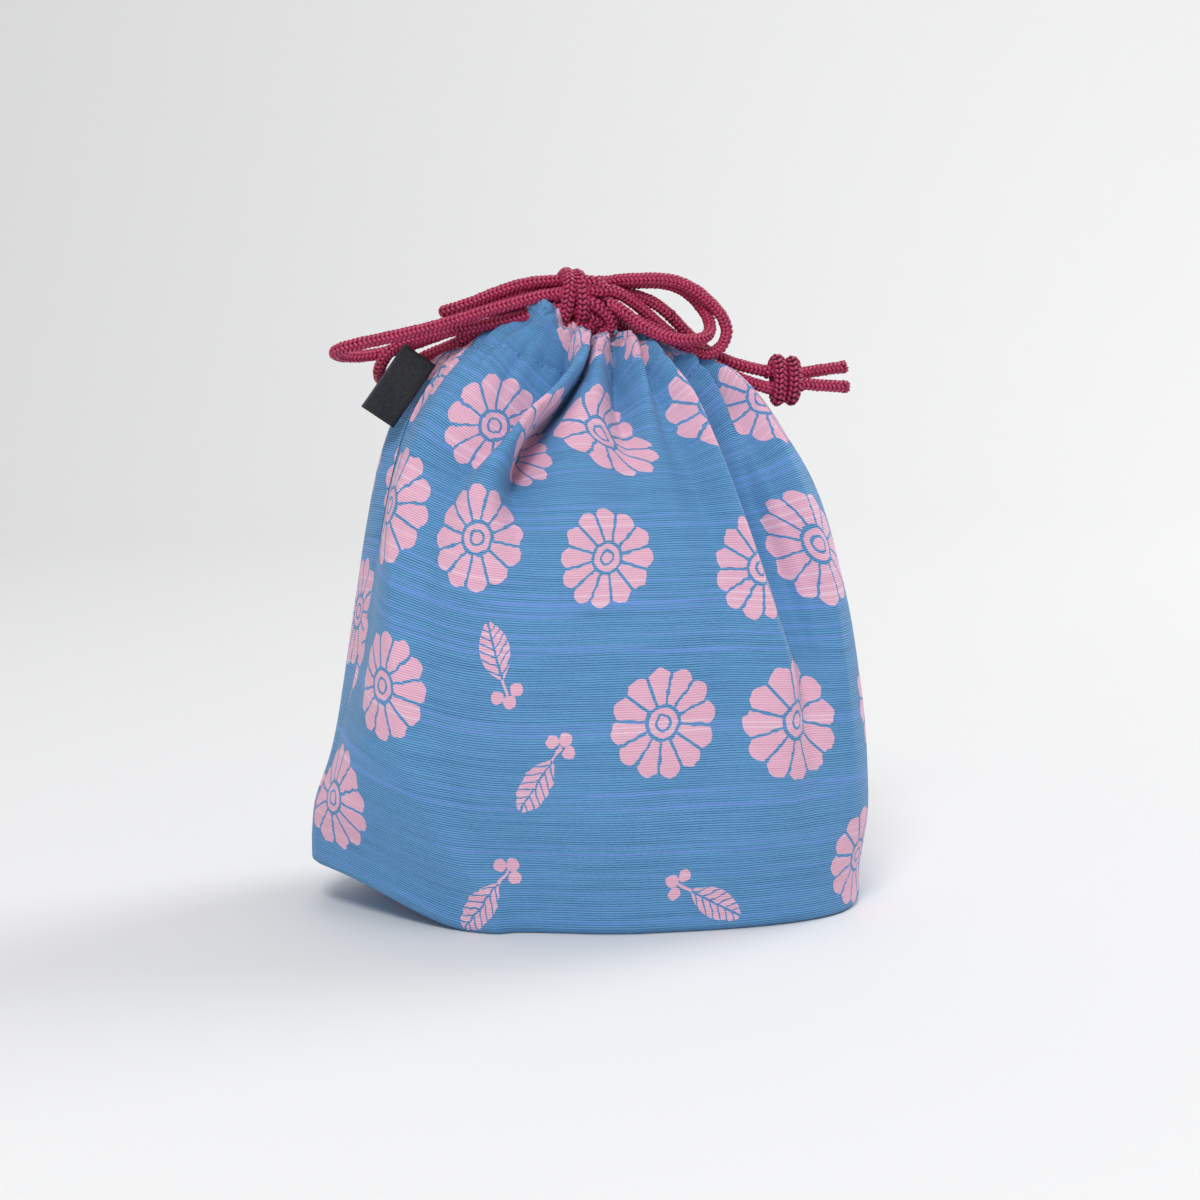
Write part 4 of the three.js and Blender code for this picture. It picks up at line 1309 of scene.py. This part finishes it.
@dataclass
class CordTie:
    """Both drawcords from the casing to their cut ends: the knot, the bow's loops, the strands and the tails.

    The points of each route are measured from the middle of the knot's left or right face.
    """

    braid: Braid = field(default_factory=Braid)
    knot_middle: Colour = (-3.0, -10.0, 221.0)
    knot_long: float = 15.6
    blend_from: float = 1.0
    blend_to: float = 20.0
    stiffness: str = "limp"
    tuck: float = 2.2

    right_loop_outer: Route = (
        (0.6, -2, 6.4), (4.2, -2.6, 7), (12.2, -3.5, 7.5), (20.2, -4, 7.6), (27.2, -4.5, 6.4),
        (34.2, -5, 3), (40.2, -5, -2), (44.2, -5, -7), (45.5, -5, -12), (43.6, -5.4, -16.6),
        (39.2, -6.4, -19.4), (33.2, -7, -18.8), (26.2, -7.4, -15.4), (19.2, -7.5, -11.6), (11.2, -7.1, -8),
        (5.2, -5.6, -4.8), (1.1, -4.6, -3),
    )
    right_loop_inner: Route = (
        (0.6, 2.7, 5.4), (4.2, 2.4, 5.9), (12.2, 1.6, 6.2), (20.2, 1, 6.3), (27.2, 0.7, 5),
        (32.2, 0.4, 2.4), (36.2, -0.4, -1.6), (38.8, -2.2, -5.8), (39, -5.6, -10.2), (36.2, -9.6, -13.2),
        (31.2, -12, -14.4), (24.2, -12.6, -14.2), (16.2, -12.6, -12.2), (10.2, -12.2, -9),
        (4.7, -10.8, -4.4), (0.5, -9.4, -1.6),
    )
    right_strand_lower: Route = (
        (0.9, -7, 3.3), (4.2, -6.7, 2.2), (11.2, -4.6, -1.8), (18.2, -2.8, -7.2), (25.2, -2, -12.8),
        (31.2, -2, -17.6), (37.2, -2.4, -21.6), (41.4, -3.8, -24.2), (48.2, -5.6, -27.7),
        (54.2, -6.2, -30.2), (62.2, -6.4, -32.6),
    )
    right_strand_upper: Route = (
        (0.2, -1.5, 1.4), (7.2, 0, 2), (13.2, 0.8, 1.3), (20.2, 1.2, -1.6), (26.2, 1.4, -6.1),
        (31.2, 1.8, -11), (36.2, 2.3, -15.6), (41.4, 1.8, -19.5), (47.2, 0, -22.2), (53.2, -1.6, -24.3),
        (62.4, -3, -26.4),
    )
    right_end_upper: Route = ((70, -4.4, -28), (74.3, -3.2, -27.4), (83.2, -3, -26), (92.5, -2.6, -24.9))
    right_end_lower: Route = (
        (69.5, -6.6, -30.2), (73.8, -7.6, -30.8), (83.2, -8, -31.6), (91.2, -8.2, -32.1),
    )
    left_loop_long: Route = (
        (-0.7, -4.6, 2.4), (-9.2, -4.2, 1.2), (-19.2, -3.2, -1.4), (-29.2, -1.8, -4.2), (-38.2, -0.6, -7),
        (-47.2, 0.4, -9.6), (-56.2, 1.4, -11.8), (-65.2, 2.6, -13.8), (-73.2, 4.2, -15.5),
        (-79.2, 7.6, -17.2), (-81.2, 12, -18.8), (-78.8, 16.8, -20), (-72.2, 20, -20.4),
        (-64.2, 21.6, -19.6), (-56.2, 22.6, -17.8), (-47.2, 23, -15), (-38.2, 22.6, -11.8),
        (-30.2, 21, -8.8), (-22.2, 18, -5.4), (-14.2, 11.8, -2.2), (-7.2, 4.6, 0), (-1.2, 0.8, 1.4),
    )
    left_loop_short: Route = (
        (-0.7, 1, 6.8), (-10.2, 1.6, 6.2), (-18.2, 2.8, 4.4), (-25.2, 4.4, 1.8), (-33.2, 6, -1.4),
        (-38.8, 8, -3.3), (-41.2, 11.2, -4.2), (-38.8, 14.6, -4.2), (-33.2, 16.4, -3.4), (-25.2, 16, -1),
        (-16.2, 13.2, 2), (-7.2, 8.8, 4.4), (-0.7, 5.8, 5),
    )
    left_strand_outer: Route = (
        (-0.7, -4.4, -3.2), (-9.2, -1.8, -4.6), (-19.2, 1.6, -7.2), (-29.2, 5, -9.4), (-37.2, 7.4, -10.8),
        (-44.2, 9.2, -12.1), (-52, 11.6, -14.2), (-57.6, 13.6, -16.4), (-61.4, 15.4, -19.4),
        (-63.8, 18.2, -24.2), (-63.4, 22, -27.8), (-61, 26, -30), (-58.4, 28.8, -31.8),
        (-57.4, 30.2, -35.4),
    )
    left_strand_inner: Route = (
        (-0.7, 0.6, -3.8), (-9.2, 4, -5.8), (-19.2, 7.6, -8.6), (-28.2, 11.4, -12), (-35.2, 15.2, -15.4),
        (-42.2, 19.8, -18.8), (-49.2, 24.2, -22.2), (-54.2, 27, -25), (-56.9, 30.4, -27.4),
        (-58, 33.6, -30), (-57.4, 35, -33.6),
    )
    left_end_outer: Route = ((-56, 32.4, -42.4), (-55, 34.2, -46.4), (-52.4, 41, -55.2), (-50.6, 46.6, -61.2))
    left_end_inner: Route = ((-56.2, 36.6, -41), (-55, 39, -44.6), (-50, 47, -53.6), (-46.6, 51.6, -59.4))
    left_drawcord_starts: Route = ((-0.7, 5.4, -5.6), (-6.2, 6.6, -8.2), (-9, 6.2, -13.4))
    left_drawcord_ends: Route = ((-8.8, 13.6, -13.2), (-7, 10.2, -6.6), (-1.8, 6, -0.8))
    right_drawcord_starts: Route = (
        (1.6, 0.4, -4.8), (6.6, 1.6, -9), (13.2, 4, -12.4), (21.2, 6, -13.8), (29.2, 6.8, -15.4),
        (34.6, 7, -19), (35.8, 6.8, -23.6), (32.6, 5.2, -27.6),
    )
    right_drawcord_ends: Route = (
        (32.6, 14.8, -27.6), (35.8, 13.2, -23.6), (34.6, 12.8, -18.8), (29.2, 12.4, -15),
        (21.2, 11.4, -12.8), (13.2, 9.4, -10.4), (6.6, 7, -6), (1.6, 4.8, -2.6),
    )

    # Each knot's wraps: place along it, walk in one turn, depth, height, start and tilt
    knot_wraps: Route = ((-7.6, 1.2, 16.6, 18.6, 0.2, 0.20), (-2.2, -0.6, 16.6, 17.6, 0.2, -0.03))
    knot_cores: Sequence = (
        ((-11, -4, 1), (-6, -6.2, 3.4), (0, -6.4, 3.6), (6.5, -6.2, 2.6)),
        ((-10, 2.4, 4), (-3, 1.8, 6.4), (3, 2, 6.2), (7, 2.4, 5.2)),
        ((-11, -3.5, -3), (-4, -4.6, -3.6), (2, -4.8, -3.4), (7, -4.6, -3)),
        ((-10, 3, -3.6), (-3, 3.6, -4.4), (3, 3.2, -4.4), (7, 2, -4)),
        (
            (-1, -7, 0), (3, -8.8, -2), (6.6, -8.6, -5), (8.8, -7.2, -8.6), (7.6, -5.2, -11.4),
            (3.6, -3.4, -11.6),
        ),
        ((-9, -3, -8.4), (-5, -5.4, -9.6), (-1, -5.6, -10.2), (3, -4.4, -9.4)),
        ((-1, -6.4, 6.6), (3, -7, 6.2), (6.4, -6, 3.4), (7.6, -5.4, -0.6)),
        ((-1, -5, -4.6), (3, -5.4, -6.6), (7, -4.8, -8.4), (10, -4.4, -8.2)),
    )
    stopper_wraps: Route = ((-2.8, 1.8, 0, 14.2, 0.3, 0), (2.8, 0.8, 0, 13.4, 0.3, 0))
    stopper_cores: Sequence = (
        ((-6.4, 1.6, 2.6), (-2, 1.2, 3.4), (2, 0.6, 2.6), (6.4, 0.4, 1.6)),
        ((-6.4, -1.2, -3), (-2, -1, -3.4), (2, -0.8, -2.6), (6.4, -0.6, -1.4)),
    )

    def _face(self, side: str) -> Array:
        """Gives the middle of the knot's face on one side."""
        return np.array(self.knot_middle) + np.array([self._sign(side) * self.knot_long / 2, 0, 0])

    @staticmethod
    def _sign(side: str) -> int:
        """Gives -1 on the left and 1 on the right."""
        return -1 if side == "left" else 1

    def _route(self, name: str) -> Array:
        """Gives a route's points in the bag's own frame."""
        return np.asarray(getattr(self, name), float) + self._face(name.split("_")[0])

    def build(self) -> list[Piece]:
        """Builds every cord and knot.

        Returns:
            The pieces.
        """
        pieces = [self._knot(), *self._drawcords()]
        loops = ("right_loop_outer", "right_loop_inner", "left_loop_long", "left_loop_short")
        pieces += [self._loop(name, seed) for seed, name in enumerate(loops, 3)]
        return pieces + self._strands("right", ("lower", "upper")) + self._strands("left", ("outer", "inner"))

    def _bend(self, piece: Piece, first: Body, second: Body, start: Array, end: Array) -> None:
        """Bakes a piece's placement into its mesh, without bending it between the bodies."""
        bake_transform(piece)

    def _hinge(self, piece: Piece, side: str) -> None:
        """Bakes a piece's placement into its mesh, without bending it from the knot into the bow beside it.
        """
        face, way = self._face(side), np.array([self._sign(side), 0, 0])
        bow = Body(f"{side}_bow")
        self._bend(piece, Body.BAG, bow, face + way * self.blend_from, face + way * self.blend_to)

    def _loop(self, name: str, seed: int) -> Piece:
        """Lays one loop of the bow, from the knot and back into it."""
        route = self._route(name)
        side = name.split("_")[0]
        tuck = np.array([-self._sign(side) * self.tuck, 0, 0])
        piece, line = self.braid.lay(f"{name}_cord", [route[0] + tuck, *route, route[-1] + tuck], seed)
        settle(piece, node=name)
        self._hinge(piece, side)
        return piece

    def _strands(self, side: str, pair: tuple[str, str]) -> list[Piece]:
        """Lays both strands of one side: near half, far half with the tail, stopper knot and cut ends."""
        bow, tails = Body(f"{side}_bow"), Body(f"{side}_tails")
        if side == "left":
            shoulder, lay = ((-66.0, 12.0, 201.0), (-71.0, 20.0, 192.0)), "hanging"
        else:
            shoulder, lay = ((41.5, -11.0, 206.0), (51.5, -11.0, 201.0)), "loose"
        pieces = [self._stopper(side, tails)]
        for k, kind in enumerate(pair):
            pieces += self._cut_end(side, kind, tails, k)
        for k, kind in enumerate(pair):
            name = f"{side}_strand_{kind}"
            route = self._route(name)
            tuck = np.array([-self._sign(side) * self.tuck, 0, 0])
            whole = smooth_line([route[0] + tuck, *route], self.braid.line_step)
            cut = int(np.argmin(np.linalg.norm(whole - route[4], axis=1)))
            near, near_line = self.braid.lay(f"{name}_cord", whole[: cut + 1], 11 + k)
            far, far_line = self.braid.lay(f"{side}_tail_{kind}_cord", whole[cut:], 21 + k)
            settle(near, node=name)
            settle(far, node=f"{side}_tail_{kind}")
            self._hinge(near, side)
            self._bend(far, bow, tails, *shoulder)
            pieces += [near, far]
        return pieces

    def _cut_end(self, side: str, kind: str, body: Body, number: int) -> list[Piece]:
        """Lays the short end beyond the stopper knot, with its frayed cut."""
        name = f"{side}_end_{kind}"
        piece, line = self.braid.lay(f"{name}_cord", self._route(name), 31 + number)
        fray = FrayedEnd(self.braid).build(f"{name}_fray", line[-1], line[-1] - line[-4], 41 + number)
        settle(piece, body, name)
        settle(fray, body)
        return [piece, fray]

    def _tied(
        self,
        name: str,
        middle: Array,
        axes: Array,
        wraps: Route,
        cores: Sequence,
        seeds: Sequence[int],
        fat: float,
    ) -> list[Piece]:
        """Ties a knot of wraps over folded cords.

        Args:
            name: first part of the pieces' names.
            middle: the knot's middle.
            axes: rows for the knot's length, depth and height.
            wraps: place along the length, walk in one turn, depth, height, first angle and tilt of each.
            cores: the points of each folded cord.
            seeds: first seed of the wraps and of the cores.
            fat: how much thicker the wraps are than the cord.

        Returns:
            Its cords.
        """
        parts = []
        for k, (offset, lean, depth, tall, start, tilt) in enumerate(wraps):
            turn = np.linspace(start, start + 2 * np.pi * 0.98, 22)
            along = offset + lean * (turn - start) / (2 * np.pi) - lean / 2
            local = np.stack([along, np.cos(turn) * depth / 2, np.sin(turn) * tall / 2], axis=1)
            tilted = axes @ np.array([[1, 0, 0], [0, 1, 0], [tilt, 0, 1]])
            parts.append(self.braid.lay(f"{name}_wrap_{k}", middle + local @ tilted, seeds[0] + k, fat)[0])
        for k, points in enumerate(cores):
            place = middle + np.asarray(points, float) @ axes
            parts.append(self.braid.lay(f"{name}_core_{k}", place, seeds[1] + k)[0])
        return parts

    def _knot(self) -> Piece:
        """Builds the bow's knot: two wraps over folded cords, and the strand at its lower right."""
        middle = np.array(self.knot_middle)
        parts = self._tied("knot", middle, np.eye(3), self.knot_wraps, self.knot_cores, (51, 61), 1.15)
        return self._join("tie_knot_wraps", parts, "tie_knot", Body.BAG)

    def _stopper(self, side: str, body: Body) -> Piece:
        """Builds the overhand knot that joins one cord's two ends."""
        if side == "right":
            place, along, up = (68.2, -5.2, -29.6), (0.998, 0.0, -0.06), (0.06, 0.0, 0.998)
            deep, fat = 8.0, 1.2
        else:
            place, along, up = (-55.3, 34.6, -38.8), (0.199, 0.336, -0.921), (0.0, 0.939, 0.343)
            deep, fat = 6.0, 1.0
        axes = np.array([along, np.cross(up, along), up])
        wraps = [(offset, lean, deep, *rest) for offset, lean, _, *rest in self.stopper_wraps]
        middle = self._face(side) + np.array(place)
        parts = self._tied(f"{side}_stopper", middle, axes, wraps, self.stopper_cores, (71, 75), fat)
        return self._join(f"{side}_stopper_wraps", parts, f"{side}_stopper_knot", body)

    @staticmethod
    def _join(name: str, parts: list[Piece], node: str, body: Body) -> Piece:
        """Joins the cords of a knot into one piece that stands for a node."""
        with bpy.context.temp_override(active_object=parts[0], selected_editable_objects=parts):
            bpy.ops.object.join()
        parts[0].name = name
        settle(parts[0], body, node)
        return parts[0]

    @staticmethod
    def _inside_run(start: float, stop: float, rise: float) -> Array:
        """Gives the line of a drawcord inside the casing, between two angles round the mouth."""
        turn = np.linspace(start, stop, 19)
        x = np.cos(turn) * np.where(np.cos(turn) < 0, 19.0, 35.0)
        return np.stack([x, 14 * np.sin(turn), 199.6 - 0.2 * (x - 8) + rise], axis=1)

    def _drawcords(self) -> list[Piece]:
        """Lays both drawcords: out of the knot, round the mouth in the casing and back to the knot."""
        leave = math.asin(0.5)
        pieces = []
        for side, start, stop, rise in (
            ("left", -math.pi + leave, math.pi - leave, 2.5),
            ("right", -leave, leave - 2 * math.pi, -2.5),
        ):
            first, last = (self._route(f"{side}_drawcord_{end}") for end in ("starts", "ends"))
            route = [*first, *self._inside_run(start, stop, rise), *last]
            piece, line = self.braid.lay(f"{side}_drawcord_run", route, 81)
            settle(piece, Body.BAG, f"{side}_drawcord")
            pieces.append(piece)
        return pieces


@dataclass
class SideLabel:
    """A ribbon folded in two and caught in the left side seam, bare."""

    top: Colour = (-55.6, 0.0, 197.4)
    bottom: Colour = (-71.4, 0.0, 174.9)
    out: tuple[float, float] = (-0.83, 0.558)
    wide: float = 14.2
    ply: float = 0.36
    loft: float = 1.3
    bend: float = 1.5
    long: float = 26.5
    # Where the lower ply starts in the flat coordinates
    lower_ply: float = 40.0

    def build(self) -> Piece:
        """Builds the label.

        Returns:
            The piece.
        """
        rows, uv = [], []
        outline = self._outline()
        for share in np.linspace(0, 1, 27):
            base = np.array(self.top) * (1 - share) + np.array(self.bottom) * share
            row = []
            for reach, height in outline:
                lift = self.bend * (reach / self.wide) ** 2 * math.cos(2.2 * share - 0.6)
                wave = 0.35 * math.sin(5 * share + reach * 0.2)
                row.append(base + np.array([self.out[0] * reach, -height - lift - wave, self.out[1] * reach]))
            rows.append(row)
            across = [reach + (self.lower_ply if height < 0 else 0) for reach, height in outline]
            uv.append([[place, share * self.long] for place in across])
        count = len(outline)
        faces = grid_faces(len(rows), count, closed=True, flip=True)
        for row, turn in ((0, 1), (len(rows) - 1, -1)):
            for k in range(count // 2 - 1):
                a, b = row * count + k, row * count + count - 1 - k
                faces.append([a, a + 1, b - 1, b][::turn])
        label = add_mesh("side_label_ribbon", rows, faces, SatinRibbon("label_ribbon").build(), uv)
        settle(label, Body.LABEL, "side_label")
        return label

    def _outline(self) -> list[tuple[float, float]]:
        """Gives the ribbon's section as a closed loop: out, round the fold and back inside it."""
        radius = self.loft / 2
        flat = self.wide - radius
        upper = [(reach, radius * (0.35 + 0.65 * reach / flat)) for reach in np.linspace(0, flat, 12)]
        turns = np.linspace(math.pi / 2, -math.pi / 2, 9)[1:-1]
        fold = [(flat + radius * math.cos(t), radius * math.sin(t)) for t in turns]
        outer = upper + fold + [(reach, -height) for reach, height in reversed(upper)]
        narrow, thin = 1 - self.ply / self.wide, 1 - self.ply / radius
        inner = [(r * narrow if r > flat else r, h * thin) for r, h in outer]
        return outer + inner[::-1]


# The studio


@dataclass
class Studio:
    """A pale floor and backdrop, soft lamps from the left, the right and above, and the camera."""

    azimuth: float = -15.0
    elevation: float = 7.0
    distance: float = 870.0
    target: Colour = (-1.1, -27.0, 113.0)
    lens: float = 72.0
    backdrop_at: float = 1400.0
    backdrop_round: float = 900.0
    # Name, place, what it aims at, size and power of each lamp
    lamps: Sequence = (
        ("key_lamp", (-0.75, -1.6, 1.8), (0, 0, 0.1), 0.7, 27.0),
        ("side_lamp", (2.3, 0.9, 2.0), (0, 0, 0.1), 1.6, 40.0),
        ("top_lamp", (0.2, 0.2, 2.4), (0, 0, 0.0), 1.8, 9.0),
    )

    def add_camera(self) -> Piece:
        """Adds the camera at the photograph's viewing angle."""
        a, e = math.radians(self.azimuth), math.radians(self.elevation)
        back = Vector((math.sin(a) * math.cos(e), -math.cos(a) * math.cos(e), math.sin(e)))
        lens = bpy.data.cameras.new("camera")
        lens.lens = self.lens
        lens.sensor_width = 36.0
        lens.clip_end = 50.0
        camera = put_in_scene("camera", lens)
        camera.location = (Vector(self.target) + back * self.distance) * MM
        camera.rotation_euler = (-back).to_track_quat("-Z", "Y").to_euler()
        bpy.context.scene.camera = camera
        return camera

    def _floor_finish(self) -> bpy.types.Material:
        """Makes the floor's material: matt and pale, painted a little lighter towards the right, where the
        light falls brighter.
        """
        kit = NodeKit("studio_floor")
        x = Value(kit, kit.out("ShaderNodeSeparateXYZ", {0: kit.place()}))
        # Painted light: the floor is lighter towards the right, where the light falls brighter
        colour = kit.mix(x.span(-1.1, 0.9), srgb(231, 231, 231), srgb(236, 236, 236))
        return kit.finish(Base_Color=colour, Roughness=0.9, Specular_IOR_Level=0.1)

    def add_floor(self) -> None:
        """Adds a floor that curves up into a backdrop behind the bag."""
        far, radius = self.backdrop_at, self.backdrop_round
        profile = [(-3000.0, 0.0), (far, 0.0)]
        for k in range(1, 25):
            turn = k / 24 * math.pi / 2
            profile.append((far + radius * math.sin(turn), radius * (1 - math.cos(turn))))
        profile.append((far + radius, 4200.0))
        points = [(x, y, z) for y, z in profile for x in (-4500.0, 4500.0)]
        faces = [[2 * k, 2 * k + 1, 2 * k + 3, 2 * k + 2] for k in range(len(profile) - 1)]
        add_mesh("studio_floor", points, faces, self._floor_finish())

    def add_lights(self) -> None:
        """Adds the lamps and the world's light."""
        for name, place, aim, size, power in self.lamps:
            lamp = bpy.data.lights.new(name, "AREA")
            lamp.shape = "DISK"
            lamp.size = size
            lamp.energy = power
            holder = put_in_scene(name, lamp)
            holder.location = place
            holder.rotation_euler = (Vector(place) - Vector(aim)).to_track_quat("Z", "Y").to_euler()
        world = bpy.data.worlds.new("studio")
        world.use_nodes = True
        back = world.node_tree.nodes["Background"]
        back.inputs[0].default_value = (0.97, 0.98, 1.0, 1.0)
        back.inputs[1].default_value = 0.40
        bpy.context.scene.world = world
        bpy.context.scene.view_settings.view_transform = "Standard"


def main() -> None:
    """Builds the scene in order."""
    logging.basicConfig(level=logging.INFO, format="%(name)s: %(message)s")
    studio = Studio()
    studio.add_camera()
    CordTie().build()
    BagBody().build()
    SideLabel().build()
    studio.add_floor()
    studio.add_lights()


if __name__ == "__main__":
    main()
